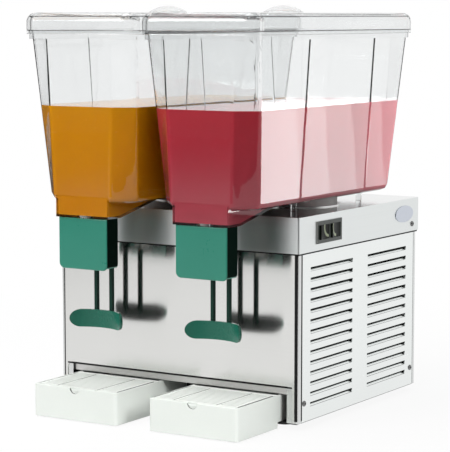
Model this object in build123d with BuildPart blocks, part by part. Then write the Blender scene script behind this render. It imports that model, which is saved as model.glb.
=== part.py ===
from build123d import *
import math
import os

os.makedirs("parts", exist_ok=True)

# All sizes in millimetres. +Z is up and the taps face -Y.
# The origin is under the middle of the whole machine, at counter level.

# Housing
housing_width = 390.0
housing_depth = 352.0
foot_height = 8.0
cabinet_height = 228.5
deck_height = 48.0
sheet = 1.2
base_sheet = 1.5
base_rim = 12.0
skirt_lip = 1.5
back_lip = 6.0
deck_corner = 3.0
panel_gap = 1.0
panel_tuck = 7.0
panel_foot = 2.0
fit_gap = 0.3
run_gap = 0.05
foot_radius = 15.0
foot_inset = 45.0

# Corner posts: strip that shows beside the front panel, beside the side panel, and hidden flanges
post_front_strip = 4.0
post_side_strip = 8.0
post_flange = 14.0
post_round = 3.0

# Louvres of the side panels and vents of the back panel
louvre_rows = 14
louvre_columns = 2
louvre_length = 118.0
louvre_slit = 5.5
louvre_pitch = 14.0
louvre_column_gap = 44.0
louvre_reach = 6.0
vent_rows = 8
vent_columns = 3
vent_length = 70.0
vent_slit = 5.0
vent_pitch = 14.0
vent_column_pitch = 100.0

# Screws
screw_head = 4.0
screw_head_height = 2.0
screw_shank = 1.9
screw_hole = 2.0
screw_length = 7.0
panel_screw_height = 27.0
deck_screw_height = 10.5

# Drip trays and the bay that takes them
tray_width = 138.0
tray_reach = 104.0
tray_tail = 70.0
tray_top = 46.0
tray_float = 1.5
tray_wall = 2.5
tray_ledge = 2.5
tray_corner = 5.0
tray_travel_gap = 1.0
finger_radius = 8.0
grid_thickness = 3.0
grid_gap = 0.9
grid_slot = 3.0
grid_slot_pitch = 7.0
grid_bar_offset = 33.0
grid_bar = 5.0
grid_border = 6.0
grid_seam = 1.6
grid_seam_depth = 1.2
slot_top = 58.5
slot_side = 9.5
slot_round = 8.0
bay_depth = 84.0
bay_rail_back = 2.5
bay_rail_gap = 0.8

# Lids and bowls
lid_width = 184.0
lid_overhang = 95.0
lid_back_inset = 1.0
lid_height = 29.0
lid_corner = 20.0
lid_round = 13.0
lid_skirt = 2.7
lid_wall = 2.5
lid_fit = 0.8
lid_ledge = 2.5
lid_dome_radius = 29.0
lid_dome_height = 9.5
bowl_gap = 6.0
bowl_rise = 12.5
bowl_height = 226.0
rim_height = 11.5
rim_under_lid = 5.0
rim_flange = 1.5
rim_front_flange = 1.5
bowl_wall = 3.0
bowl_floor = 3.5
bowl_corner = 7.0
bowl_round = 9.0
side_draft = 15.0
front_draft = 6.0
rear_draft = 12.5
facet_top_x = 34.0
facet_top_y = 13.0
facet_low_x = 26.0
facet_low_y = 30.0
groove_width = 7.5
groove_depth = 2.0
groove_offsets = (51.0, 234.0)
collar_height = 6.0
peg_radius = 4.0
peg_side = 50.0
peg_front_offset = 72.0
peg_back_offset = 258.0

# Outlet nose of the bowl
nose_half = 43.0
nose_drop = 21.0
nose_flat = 30.0
nose_clear = 2.4
nose_tail = 50.0

# Tap: sleeve, plunger, spring, cover and lever
tap_setback = 16.5
plunger_radius = 7.5
plunger_wall = 2.5
plunger_tail = 64.0
plunger_head = 10.5
plunger_head_height = 4.0
seal_height = 3.0
port_width = 5.0
port_height = 4.0
plunger_collar = 10.0
collar_thickness = 3.0
collar_drop = 50.0
ear_reach = 14.0
ear_depth = 6.0
ear_setback = 6.0
sleeve_wall = 2.45
sleeve_length = 30.0
sleeve_flange = 12.0
sleeve_flange_height = 8.0
sleeve_lip = 12.5
sleeve_lip_height = 2.5
spring_wire = 1.0
spring_turns = 5
cover_width = 80.0
cover_depth = 26.0
cover_height = 70.0
cover_wall = 2.2
cover_setback = 1.5
cover_corner = 8.0
cover_edge = 2.0
shelf_thickness = 2.5
shelf_drop = 15.5
pin_radius = 2.0
pin_drop = 38.0
pin_boss = 4.0
pin_boss_length = 5.0
pin_seat = 1.0
arm_thickness = 4.5
arm_height = 6.0
arm_drop = 15.5
lobe_radius = 3.0
leg_setback = 51.0
leg_depth = 6.0
paddle_width = 86.0
paddle_height = 24.5
paddle_drop = 131.5
paddle_radius = 60.0
paddle_wall = 4.0

# Evaporator, mixer and gasket
evap_radius = 50.0
evap_height = 108.5
evap_sheet = 1.0
evap_flange = 12.0
evap_flange_sheet = 1.5
evap_round = 12.0
evap_offset = 165.0
gasket_width = 8.0
gasket_gap = 0.1
bowl_hole_gap = 2.0
spindle_radius = 4.0
spindle_height = 14.0
impeller_radius = 40.0
impeller_disc = 30.0
impeller_disc_height = 6.0
impeller_hub = 11.0
impeller_hub_height = 17.0
impeller_blades = 4
impeller_blade = 3.0
impeller_float = 1.0
magnet_radius = 32.0
magnet_height = 16.0
magnet_gap = 6.0
shaft_radius = 4.0
shaft_hole_gap = 10.0
motor_radius = 34.0
motor_height = 66.0
motor_drop = 20.0
motor_flange = 80.0
motor_flange_sheet = 3.0
motor_post = 3.0
motor_post_inset = 6.0
motor_boss = 10.0
motor_boss_height = 4.0

# Switches and plate on the deck's right side
bezel_length = 68.0
bezel_height = 30.0
bezel_proud = 2.0
bezel_frame = 2.0
bezel_depth = 22.0
bezel_offset = 80.0
bezel_lift = 24.0
rocker_length = 26.0
rocker_height = 19.0
rocker_gap = 0.8
rocker_depth = 6.0
rocker_crown = 1.6
rocker_tilt = 7.0
rocker_pin = 1.5
rocker_pin_reach = 1.4
rocker_pitch = 31.5
pocket_depth = 12.0
plate_length = 55.0
plate_height = 24.0
plate_thickness = 1.2
plate_offset = 304.0
plate_lift = 27.0

# Compressor, condenser, fan, lines and electrics
compressor_inset = 108.5
compressor_back = 114.0
compressor_radius = 58.0
compressor_clear = 22.8
compressor_round = 25.0
compressor_seam = 3.0
compressor_plate = 3.0
compressor_foot_x = 62.0
compressor_foot_y = 46.0
mount_radius = 9.0
mount_height = 14.0
stub_radius = 4.0
stub_height = 8.0
stub_x = 35.0
stub_y = 20.0
condenser_inset = 47.5
condenser_thickness = 40.0
condenser_front_gap = 24.0
condenser_back_gap = 50.0
condenser_bottom = 16.0
condenser_clear = 7.3
fin_count = 16
fin_sheet = 0.8
end_fin_sheet = 1.5
coil_radius = 4.0
coil_rows = 6
coil_margin = 12.0
coil_overrun = 16.0
shroud_sheet = 2.0
fan_margin = 15.0
fan_gap = 5.0
fan_width = 18.0
fan_hub = 18.0
fan_blades = 5
fan_blade_sheet = 2.0
fan_blade_pitch = 30.0
fan_shaft = 3.0
fan_spacing = 3.0
fan_motor_radius = 30.0
fan_motor_length = 40.0
bracket_width = 16.0
bracket_sheet = 3.0
line_radius = 3.0
capillary_radius = 1.6
tee_wall = 1.2
tee_length = 12.0
line_bend = 8.0
drier_radius = 9.0
drier_length = 90.0
drier_x = 20.0
thermostat_size = (40.0, 22.0, 30.0)
thermostat_inset = 63.5
wiring_width = 70.0
wiring_height = 60.0
wiring_side_gap = 6.3
wiring_front_gap = 10.5
wiring_back_gap = 27.5
gland_inset = 53.5
gland_height = 40.0
gland_radius = 7.0
gland_bore = 4.0
gland_flange = 11.0
gland_flange_sheet = 2.5
gland_nose = 3.0
gland_nut = 6.0

# Levels and planes worked out from the sizes above
half_width = housing_width / 2
deck_front = (tray_reach - housing_depth) / 2
deck_back = deck_front + housing_depth
cabinet_half = half_width - skirt_lip
cabinet_front = deck_front + skirt_lip
cabinet_back = deck_back - back_lip
cabinet_mid = (cabinet_front + cabinet_back) / 2
base_z = foot_height
base_top = base_z + base_sheet
skirt_z = base_z + cabinet_height
deck_z = skirt_z + deck_height
deck_under = deck_z - sheet
panel_z = base_z + panel_foot
panel_top = skirt_z + panel_tuck

lid_half = lid_width / 2
bowl_pitch = lid_width + bowl_gap
bowl_x = {"left": -bowl_pitch / 2, "right": bowl_pitch / 2}
bowl_z = deck_z + bowl_rise
floor_z = bowl_z + bowl_floor
lid_z = bowl_z + bowl_height
rim_top = lid_z + rim_under_lid
rim_z = rim_top - rim_height
lid_top = lid_z + lid_height
lid_front = deck_front - lid_overhang
lid_rear = deck_back - lid_back_inset
lid_mid = (lid_front + lid_rear) / 2
lid_grip = lid_skirt + lid_fit
rim_half = lid_half - lid_grip
rim_front = lid_front + lid_grip
rim_rear = lid_rear - lid_grip
bowl_top_half = rim_half - rim_flange
bowl_top_front = rim_front + rim_front_flange
bowl_top_rear = rim_rear - rim_flange
bowl_low_front = bowl_top_front + front_draft

nose_z = bowl_z - nose_drop
nose_floor_z = nose_z + bowl_floor
tap_y = bowl_low_front + tap_setback
evap_y = deck_front + evap_offset
evap_top = deck_z + evap_height
motor_top = deck_under - motor_drop
motor_low = motor_top - motor_height
bay_back = deck_front + bay_depth


def place_pair(piece, name):
    for side, x in bowl_x.items():
        copy = piece.moved(Location((x, 0, 0)))
        copy.label = f"{side}_{name}"
        export_step(copy, f"parts/{side}_{name}.step")


# Base pan and feet
with BuildPart() as base_pan:
    pan_front = cabinet_front + sheet + panel_gap
    pan_back = cabinet_back - 2 * sheet - panel_gap
    pan_half = cabinet_half - 2 * sheet - panel_gap
    pan_mid = (pan_front + pan_back) / 2
    with BuildSketch(Plane.XY.offset(base_z)):
        with Locations((0, pan_mid)):
            Rectangle(2 * pan_half, pan_back - pan_front)
    extrude(amount=base_sheet)
    with BuildSketch(Plane.XY.offset(base_top)):
        with Locations((0, pan_back - base_sheet / 2)):
            Rectangle(2 * (pan_half - post_flange), base_sheet)
        with Locations((pan_half - base_sheet / 2, pan_mid), (base_sheet / 2 - pan_half, pan_mid)):
            Rectangle(base_sheet, pan_back - pan_front - 4 * post_flange)
    extrude(amount=base_rim)
base_pan.part.label = "base_pan"
export_step(base_pan.part, "parts/base_pan.step")

with BuildPart() as rubber_feet:
    with Locations((0, cabinet_mid, 0)):
        with GridLocations(housing_width - 2 * foot_inset, housing_depth - 2 * foot_inset, 2, 2):
            Cylinder(foot_radius, foot_height, align=(Align.CENTER, Align.CENTER, Align.MIN))
    chamfer(rubber_feet.faces().filter_by(Axis.Z).sort_by(Axis.Z)[:4].edges(), skirt_lip)
rubber_feet.part.label = "rubber_feet"
export_step(rubber_feet.part, "parts/rubber_feet.step")

# Corner posts, from the base pan up to the underside of the deck
post_side_y = post_side_strip + post_flange
screw_y_front = cabinet_front + post_side_strip + panel_gap + post_flange / 2
screw_y_back = cabinet_back - post_side_strip - panel_gap - post_flange / 2
screw_x = cabinet_half - post_front_strip - panel_gap - post_flange / 2
panel_screw_z = base_z + panel_screw_height
deck_screw_z = skirt_z + deck_screw_height
post_z = base_top

with BuildPart() as corner_posts:
    with BuildSketch(Plane.XY.offset(post_z)) as post_section:
        with BuildLine():
            Polyline(
                (cabinet_half - post_front_strip, cabinet_front),
                (cabinet_half, cabinet_front),
                (cabinet_half, cabinet_front + post_side_strip),
                (cabinet_half - sheet, cabinet_front + post_side_strip),
                (cabinet_half - sheet, cabinet_front + post_side_y),
                (cabinet_half - 2 * sheet, cabinet_front + post_side_y),
                (cabinet_half - 2 * sheet, cabinet_front + 2 * sheet),
                (cabinet_half - post_front_strip - post_flange, cabinet_front + 2 * sheet),
                (cabinet_half - post_front_strip - post_flange, cabinet_front + sheet),
                (cabinet_half - post_front_strip, cabinet_front + sheet),
                close=True,
            )
        make_face()
        fillet(post_section.vertices().sort_by(Axis.X)[-2:].sort_by(Axis.Y)[0], post_round)
        mirror(about=Plane.XZ.offset(-cabinet_mid))
        mirror(about=Plane.YZ)
    extrude(amount=deck_under - post_z)
    for y in (screw_y_front, screw_y_back):
        with Locations(Location((0, y, panel_screw_z), (0, 90, 0))):
            Cylinder(screw_hole, housing_width, mode=Mode.SUBTRACT)
    with Locations(Location((0, screw_y_back, deck_screw_z), (0, 90, 0))):
        Cylinder(screw_hole, housing_width, mode=Mode.SUBTRACT)
    for x in (-screw_x, screw_x):
        with Locations(Location((x, cabinet_back, panel_screw_z), (90, 0, 0))):
            Cylinder(screw_hole, 4 * post_flange, mode=Mode.SUBTRACT)
corner_posts.part.label = "corner_posts"
export_step(corner_posts.part, "parts/corner_posts.step")

# Front panel, open at its foot where the drip trays slide in
slot_half = cabinet_half - slot_side
panel_half = cabinet_half - post_front_strip - panel_gap
with BuildPart() as front_panel:
    with BuildSketch(Plane.XZ.offset(-cabinet_front - sheet)) as front_blank:
        with Locations((0, (panel_z + panel_top) / 2)):
            Rectangle(2 * panel_half, panel_top - panel_z)
        with Locations((0, panel_z)):
            Rectangle(2 * slot_half, 2 * (slot_top - panel_z), mode=Mode.SUBTRACT)
        fillet(front_blank.vertices().filter_by_position(Axis.Y, slot_top - 1, slot_top + 1), slot_round)
    extrude(amount=sheet)
front_panel.part.label = "front_panel"
export_step(front_panel.part, "parts/front_panel.step")

# Louvred side panels: each tongue is pressed inwards and stays joined along the slit's lower edge
side_front = cabinet_front + post_side_strip + panel_gap
side_back = cabinet_back - post_side_strip - panel_gap
louvre_mid_z = (base_z + skirt_z) / 2
louvre_column_pitch = louvre_length + louvre_column_gap
louvre_columns_y = [
    cabinet_mid + (column - (louvre_columns - 1) / 2) * louvre_column_pitch
    for column in range(louvre_columns)
]
louvre_rows_z = [louvre_mid_z + (row - (louvre_rows - 1) / 2) * louvre_pitch for row in range(louvre_rows)]

with BuildPart() as louvre_tongue:
    with BuildSketch(Plane.XZ.offset(-louvre_length / 2)):
        with BuildLine():
            Polyline(
                (cabinet_half - sheet, -louvre_slit / 2 - sheet),
                (cabinet_half - sheet, -louvre_slit / 2),
                (cabinet_half - sheet - louvre_reach, louvre_slit / 2 + sheet),
                (cabinet_half - sheet - louvre_reach, louvre_slit / 2),
                close=True,
            )
        make_face()
    extrude(amount=louvre_length)

with BuildPart() as right_side_panel:
    with BuildSketch(Plane.YZ.offset(cabinet_half - sheet)):
        with Locations(((side_front + side_back) / 2, (panel_z + panel_top) / 2)):
            Rectangle(side_back - side_front, panel_top - panel_z)
        with Locations(*[(y, z) for y in louvre_columns_y for z in louvre_rows_z]):
            Rectangle(louvre_length, louvre_slit, mode=Mode.SUBTRACT)
        with Locations((screw_y_front, panel_screw_z), (screw_y_back, panel_screw_z)):
            Circle(screw_hole, mode=Mode.SUBTRACT)
    extrude(amount=sheet)
    with Locations(*[(0, y, z) for y in louvre_columns_y for z in louvre_rows_z]):
        add(louvre_tongue.part)
right_side_panel.part.label = "right_side_panel"
export_step(right_side_panel.part, "parts/right_side_panel.step")

with BuildPart() as left_side_panel:
    mirror(right_side_panel.part, about=Plane.YZ)
left_side_panel.part.label = "left_side_panel"
export_step(left_side_panel.part, "parts/left_side_panel.step")

# Back panel with its vents and the cord's hole
gland_x = gland_inset - cabinet_half
gland_z = base_z + gland_height
with BuildPart() as back_panel:
    with BuildSketch(Plane.XZ.offset(-cabinet_back)):
        with Locations((0, (panel_z + panel_top) / 2)):
            Rectangle(2 * panel_half, panel_top - panel_z)
        with Locations((0, louvre_mid_z)):
            with GridLocations(vent_column_pitch, vent_pitch, vent_columns, vent_rows):
                SlotOverall(vent_length, vent_slit, mode=Mode.SUBTRACT)
        with Locations((-screw_x, panel_screw_z), (screw_x, panel_screw_z)):
            Circle(screw_hole, mode=Mode.SUBTRACT)
        with Locations((gland_x, gland_z)):
            Circle(gland_radius, mode=Mode.SUBTRACT)
    extrude(amount=sheet)
back_panel.part.label = "back_panel"
export_step(back_panel.part, "parts/back_panel.step")

# Tray bay: ceiling, back, sides and the rail that shows in the slot
bay_front = cabinet_front + 2 * sheet + bay_rail_back
bay_half = slot_half + panel_gap
bay_top = slot_top + panel_gap
rail_z = tray_top + bay_rail_gap
with BuildPart() as tray_bay:
    with BuildSketch(Plane.XY.offset(base_top)):
        with Locations((0, (bay_front + bay_back) / 2)):
            Rectangle(2 * bay_half, bay_back - bay_front)
    extrude(amount=bay_top + sheet - base_top)
    with BuildSketch(Plane.XY.offset(base_top)):
        with Locations((0, (bay_front + bay_back) / 2)):
            Rectangle(2 * (bay_half - sheet), bay_back - bay_front - 2 * sheet)
    extrude(amount=bay_top - base_top, mode=Mode.SUBTRACT)
    with BuildSketch(Plane.XZ.offset(-bay_front)):
        with Locations((0, (base_top + rail_z) / 2)):
            Rectangle(2 * (bay_half - sheet), rail_z - base_top)
    extrude(amount=-sheet, mode=Mode.SUBTRACT)
tray_bay.part.label = "tray_bay"
export_step(tray_bay.part, "parts/tray_bay.step")

# Deck: a folded pan with holes for the mixer shafts, the evaporator lines, the switches and screws
bezel_y = deck_front + bezel_offset
bezel_z = skirt_z + bezel_lift
stub_inner_x = evap_radius - stub_radius - evap_sheet - run_gap
line_hole = line_radius + fit_gap
liquid_y = evap_y + stub_inner_x
with BuildPart() as deck:
    with BuildSketch(Plane.XY.offset(skirt_z)):
        with Locations((0, deck_front + housing_depth / 2)):
            RectangleRounded(housing_width, housing_depth, deck_corner)
    extrude(amount=deck_height)
    with BuildSketch(Plane.XY.offset(skirt_z)):
        with Locations((0, deck_front + housing_depth / 2)):
            RectangleRounded(housing_width - 2 * sheet, housing_depth - 2 * sheet, deck_corner - sheet)
    extrude(amount=deck_height - sheet, mode=Mode.SUBTRACT)
    with BuildSketch(Plane.XY.offset(deck_under)):
        for side, x in bowl_x.items():
            with Locations((x, evap_y)):
                Circle(shaft_radius + shaft_hole_gap)
            with Locations((x - math.copysign(stub_inner_x, x), evap_y), (x, liquid_y)):
                Circle(line_hole)
    extrude(amount=sheet, mode=Mode.SUBTRACT)
    with Locations((half_width, bezel_y, bezel_z)):
        Box(4 * sheet, bezel_length - 2 * bezel_frame, bezel_height - 2 * bezel_frame, mode=Mode.SUBTRACT)
    with Locations(Location((0, screw_y_back, deck_screw_z), (0, 90, 0))):
        Cylinder(screw_hole, 2 * housing_width, mode=Mode.SUBTRACT)
deck.part.label = "deck"
export_step(deck.part, "parts/deck.step")

# Screws: two in each side panel, two in the back panel and one in each end of the deck skirt
screw_places = [Location((x, cabinet_back, panel_screw_z), (-90, 0, 0)) for x in (-screw_x, screw_x)]
for turn, side_x, skirt_x in ((90, cabinet_half, half_width), (-90, -cabinet_half, -half_width)):
    screw_places += [
        Location((side_x, screw_y_front, panel_screw_z), (0, turn, 0)),
        Location((side_x, screw_y_back, panel_screw_z), (0, turn, 0)),
        Location((skirt_x, screw_y_back, deck_screw_z), (0, turn, 0)),
    ]
with BuildPart() as panel_screws:
    with Locations(*screw_places):
        Cylinder(screw_head, screw_head_height, align=(Align.CENTER, Align.CENTER, Align.MIN))
        Cylinder(screw_shank, screw_length, align=(Align.CENTER, Align.CENTER, Align.MAX))
panel_screws.part.label = "panel_screws"
export_step(panel_screws.part, "parts/panel_screws.step")

# Switch bezel with a pocket for each rocker, and the blank oval plate
rocker_x = half_width
window_length = rocker_length + 2 * rocker_gap
window_height = rocker_height + 2 * fit_gap
pin_span = rocker_height + 2 * rocker_pin_reach + 2 * fit_gap
rocker_places = [(rocker_x, bezel_y + offset, bezel_z) for offset in (-rocker_pitch / 2, rocker_pitch / 2)]
with BuildPart() as switch_bezel:
    with Locations((half_width, bezel_y, bezel_z)):
        Box(bezel_proud, bezel_length, bezel_height, align=(Align.MIN, Align.CENTER, Align.CENTER))
        Box(
            bezel_depth,
            bezel_length - 2 * bezel_frame - 2 * run_gap,
            bezel_height - 2 * bezel_frame - 2 * run_gap,
            align=(Align.MAX, Align.CENTER, Align.CENTER),
        )
    fillet(switch_bezel.faces().sort_by(Axis.X)[-1].edges(), bezel_proud / 2)
    with Locations(*rocker_places):
        Box(2 * pocket_depth, window_length, window_height, mode=Mode.SUBTRACT)
        Cylinder(rocker_pin + run_gap, pin_span, mode=Mode.SUBTRACT)
switch_bezel.part.label = "switch_bezel"
export_step(switch_bezel.part, "parts/switch_bezel.step")

with BuildPart() as rocker:
    with BuildSketch(Plane.XY.offset(-rocker_height / 2)):
        with BuildLine():
            front_edge = ThreePointArc(
                (rocker_depth / 2, -rocker_length / 2),
                (rocker_depth / 2 - rocker_crown, 0),
                (rocker_depth / 2, rocker_length / 2),
            )
            Polyline(
                front_edge @ 1,
                (0, rocker_length / 2),
                (-rocker_depth / 2, 0),
                (0, -rocker_length / 2),
                front_edge @ 0,
            )
        make_face()
    extrude(amount=rocker_height)
    Cylinder(rocker_pin, rocker_height + 2 * rocker_pin_reach)

for name, place in zip(("cooling_rocker", "mixer_rocker"), rocker_places):
    tilted = rocker.part.moved(Location(place, (0, 0, rocker_tilt)))
    tilted.label = name
    export_step(tilted, f"parts/{name}.step")

with BuildPart() as oval_plate:
    with BuildSketch(Plane.YZ.offset(half_width)):
        with Locations((deck_front + plate_offset, skirt_z + plate_lift)):
            Ellipse(plate_length / 2, plate_height / 2)
    extrude(amount=plate_thickness)
oval_plate.part.label = "oval_plate"
export_step(oval_plate.part, "parts/oval_plate.step")

# Evaporator dome on the deck, with the spindle that the impeller turns on
with BuildPart() as evaporator:
    with Locations((0, evap_y, deck_z)):
        Cylinder(evap_radius, evap_height, align=(Align.CENTER, Align.CENTER, Align.MIN))
    fillet(evaporator.faces().sort_by(Axis.Z)[-1].edges(), evap_round)
    offset(amount=-evap_sheet, openings=evaporator.faces().sort_by(Axis.Z)[0])
    with BuildSketch(Plane.XY.offset(deck_z)):
        with Locations((0, evap_y)):
            Circle(evap_radius + evap_flange)
            Circle(evap_radius - evap_sheet, mode=Mode.SUBTRACT)
    extrude(amount=evap_flange_sheet)
    with Locations((0, evap_y, evap_top)):
        Cylinder(spindle_radius, spindle_height, align=(Align.CENTER, Align.CENTER, Align.MIN))
place_pair(evaporator.part, "evaporator")

gasket_z = deck_z + evap_flange_sheet
with BuildPart() as bowl_gasket:
    with BuildSketch(Plane.XY.offset(gasket_z)):
        with Locations((0, evap_y)):
            Circle(evap_radius + gasket_gap + gasket_width)
            Circle(evap_radius + gasket_gap, mode=Mode.SUBTRACT)
    extrude(amount=bowl_z - gasket_z)
place_pair(bowl_gasket.part, "bowl_gasket")

# Impeller over the dome, drive magnet under it, and the motor hung from the deck
impeller_z = evap_top + impeller_float
with BuildPart() as impeller:
    with Locations((0, evap_y, impeller_z)):
        Cylinder(impeller_disc, impeller_disc_height, align=(Align.CENTER, Align.CENTER, Align.MIN))
        Cylinder(impeller_hub, impeller_hub_height, align=(Align.CENTER, Align.CENTER, Align.MIN))
        with PolarLocations(0, impeller_blades):
            Box(
                impeller_radius,
                impeller_blade,
                impeller_hub_height,
                align=(Align.MIN, Align.CENTER, Align.MIN),
            )
    with Locations((0, evap_y, evap_top)):
        Cylinder(
            spindle_radius + run_gap,
            spindle_height + fit_gap,
            align=(Align.CENTER, Align.CENTER, Align.MIN),
            mode=Mode.SUBTRACT,
        )
place_pair(impeller.part, "impeller")

magnet_top = evap_top - evap_sheet - magnet_gap
with BuildPart() as drive_magnet:
    with Locations((0, evap_y, magnet_top)):
        Cylinder(magnet_radius, magnet_height, align=(Align.CENTER, Align.CENTER, Align.MAX))
        Cylinder(
            shaft_radius,
            magnet_top - motor_top + motor_height / 2,
            align=(Align.CENTER, Align.CENTER, Align.MAX),
        )
place_pair(drive_magnet.part, "drive_magnet")

with BuildPart() as mixer_motor:
    with Locations((0, evap_y, motor_top)):
        Cylinder(motor_radius, motor_height, align=(Align.CENTER, Align.CENTER, Align.MAX))
        Cylinder(motor_boss, motor_boss_height, align=(Align.CENTER, Align.CENTER, Align.MIN))
        Box(
            motor_flange,
            motor_flange,
            motor_flange_sheet,
            align=(Align.CENTER, Align.CENTER, Align.MAX),
        )
        with GridLocations(motor_flange - 2 * motor_post_inset, motor_flange - 2 * motor_post_inset, 2, 2):
            Cylinder(motor_post, motor_drop, align=(Align.CENTER, Align.CENTER, Align.MIN))
    with Locations((0, evap_y, motor_top + motor_boss_height)):
        Cylinder(
            shaft_radius + run_gap,
            motor_height / 2 + motor_boss_height + fit_gap,
            align=(Align.CENTER, Align.CENTER, Align.MAX),
            mode=Mode.SUBTRACT,
        )
place_pair(mixer_motor.part, "mixer_motor")


# Bowl: a drafted shell with a flat front and back, a facet at each corner and an outlet nose
def bowl_half(z):
    return bowl_top_half - side_draft * (rim_z - z) / (rim_z - bowl_z)


def bowl_section(z, inset):
    low = (rim_z - z) / (rim_z - bowl_z)
    half = bowl_half(z)
    front = bowl_top_front + front_draft * low
    rear = bowl_top_rear - rear_draft * low
    cut_x = facet_top_x + (facet_low_x - facet_top_x) * low
    cut_y = facet_top_y + (facet_low_y - facet_top_y) * low
    with BuildSketch(Plane.XY.offset(z)) as section:
        with BuildLine():
            Polyline(
                (cut_x - half, front),
                (half - cut_x, front),
                (half, front + cut_y),
                (half, rear - cut_y),
                (half - cut_x, rear),
                (cut_x - half, rear),
                (-half, rear - cut_y),
                (-half, front + cut_y),
                close=True,
            )
        make_face()
        if inset > 0:
            offset(amount=-inset, kind=Kind.INTERSECTION)
        fillet(section.vertices(), bowl_corner)
    return section.sketch


def rounded_plan(z, half, front, rear, corner):
    with BuildSketch(Plane.XY.offset(z)) as section:
        with Locations((0, (front + rear) / 2)):
            RectangleRounded(2 * half, rear - front, corner)
    return section.sketch


eighth = 1 - math.sin(math.pi / 4)
inner_round = bowl_round - bowl_wall
rim_corner = lid_corner - lid_grip
mouth_corner = rim_corner - bowl_wall
nose_top = bowl_z + bowl_round + bowl_floor
tap_hole = plunger_radius + run_gap + sleeve_wall + run_gap

with BuildPart() as bowl:
    outer_sections = [
        bowl_section(bowl_z, bowl_round),
        bowl_section(bowl_z + eighth * bowl_round, eighth * bowl_round),
        bowl_section(bowl_z + bowl_round, 0),
        bowl_section(rim_z, 0),
    ]
    loft(outer_sections, ruled=True)
    extrude(rounded_plan(rim_z, rim_half, rim_front, rim_rear, rim_corner), amount=rim_height)
    with BuildSketch(Plane.YZ.offset(-nose_half)):
        with BuildLine():
            Polyline(
                (bowl_low_front, nose_z),
                (bowl_low_front + nose_flat, nose_z),
                (deck_front, deck_z + nose_clear),
                (deck_front + nose_tail, bowl_z),
                (deck_front + nose_tail, nose_top),
                (bowl_low_front, nose_top),
                close=True,
            )
        make_face()
    extrude(amount=2 * nose_half)
    inner_sections = [
        bowl_section(floor_z, bowl_wall + inner_round),
        bowl_section(floor_z + eighth * inner_round, bowl_wall + eighth * inner_round),
        bowl_section(floor_z + inner_round, bowl_wall),
        bowl_section(rim_z, bowl_wall),
    ]
    loft(inner_sections, ruled=True, mode=Mode.SUBTRACT)
    mouth = rounded_plan(
        rim_z,
        bowl_top_half - bowl_wall,
        bowl_top_front + bowl_wall,
        bowl_top_rear - bowl_wall,
        mouth_corner,
    )
    extrude(mouth, amount=rim_height, mode=Mode.SUBTRACT)
    with BuildSketch(Plane.YZ.offset(bowl_wall - nose_half)):
        with BuildLine():
            Polyline(
                (bowl_low_front + bowl_wall, nose_floor_z),
                (bowl_low_front + nose_flat, nose_floor_z),
                (deck_front, deck_z + nose_clear + bowl_floor),
                (deck_front + nose_tail, floor_z),
                (deck_front + nose_tail, nose_top),
                (bowl_low_front + bowl_wall, nose_top),
                close=True,
            )
        make_face()
    extrude(amount=2 * (nose_half - bowl_wall), mode=Mode.SUBTRACT)
    with Locations((0, evap_y, floor_z)):
        Cylinder(
            evap_radius + bowl_hole_gap + bowl_wall,
            collar_height,
            align=(Align.CENTER, Align.CENTER, Align.MIN),
        )
    with Locations((0, evap_y, bowl_z)):
        Cylinder(evap_radius + bowl_hole_gap, 4 * collar_height, mode=Mode.SUBTRACT)
    with Locations((0, tap_y, nose_z)):
        Cylinder(tap_hole, 4 * bowl_floor, mode=Mode.SUBTRACT)
    for y in (deck_front + peg_front_offset, deck_front + peg_back_offset):
        with Locations((peg_side, y, deck_z), (-peg_side, y, deck_z)):
            Cylinder(peg_radius, bowl_rise + bowl_floor / 2, align=(Align.CENTER, Align.CENTER, Align.MIN))
    for offset_y in groove_offsets:
        for side in (-1, 1):
            for z in (bowl_z, rim_z):
                with BuildSketch(Plane.XY.offset(z)):
                    with BuildLine():
                        Polyline(
                            (side * (bowl_half(z) + groove_depth), deck_front + offset_y - groove_width),
                            (side * (bowl_half(z) - groove_depth), deck_front + offset_y),
                            (side * (bowl_half(z) + groove_depth), deck_front + offset_y + groove_width),
                            close=True,
                        )
                    make_face()
            loft(ruled=True, mode=Mode.SUBTRACT)
place_pair(bowl.part, "bowl")

# Lid: a rolled cap over the bowl's rim, with a low round dome in the middle
dome_sphere = (lid_dome_radius**2 + lid_dome_height**2) / (2 * lid_dome_height)
dome_centre = (0, lid_mid, lid_top + lid_dome_height - dome_sphere)
hollow_inset = lid_grip + lid_ledge
with BuildPart() as lid_hollow:
    hollow_plan = rounded_plan(
        rim_top,
        lid_half - hollow_inset,
        lid_front + hollow_inset,
        lid_rear - hollow_inset,
        lid_corner - hollow_inset,
    )
    extrude(hollow_plan, amount=lid_top - lid_wall - rim_top)
    fillet(lid_hollow.faces().sort_by(Axis.Z)[-1].edges(), lid_round - lid_wall)

with BuildPart() as lid_dome:
    with Locations(dome_centre):
        Sphere(dome_sphere)
    split(bisect_by=Plane.XY.offset(lid_top - lid_wall), keep=Keep.TOP)

with BuildPart() as dome_hollow:
    with Locations(dome_centre):
        Sphere(dome_sphere - lid_wall)
    split(bisect_by=Plane.XY.offset(lid_top - lid_wall), keep=Keep.TOP)

with BuildPart() as lid:
    extrude(rounded_plan(lid_z, lid_half, lid_front, lid_rear, lid_corner), amount=lid_height)
    fillet(lid.faces().sort_by(Axis.Z)[-1].edges(), lid_round)
    skirt_plan = rounded_plan(
        lid_z,
        lid_half - lid_skirt,
        lid_front + lid_skirt,
        lid_rear - lid_skirt,
        lid_corner - lid_skirt,
    )
    extrude(skirt_plan, amount=rim_under_lid, mode=Mode.SUBTRACT)
    add(lid_hollow.part, mode=Mode.SUBTRACT)
    add(lid_dome.part)
    add(dome_hollow.part, mode=Mode.SUBTRACT)
place_pair(lid.part, "lid")

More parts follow.
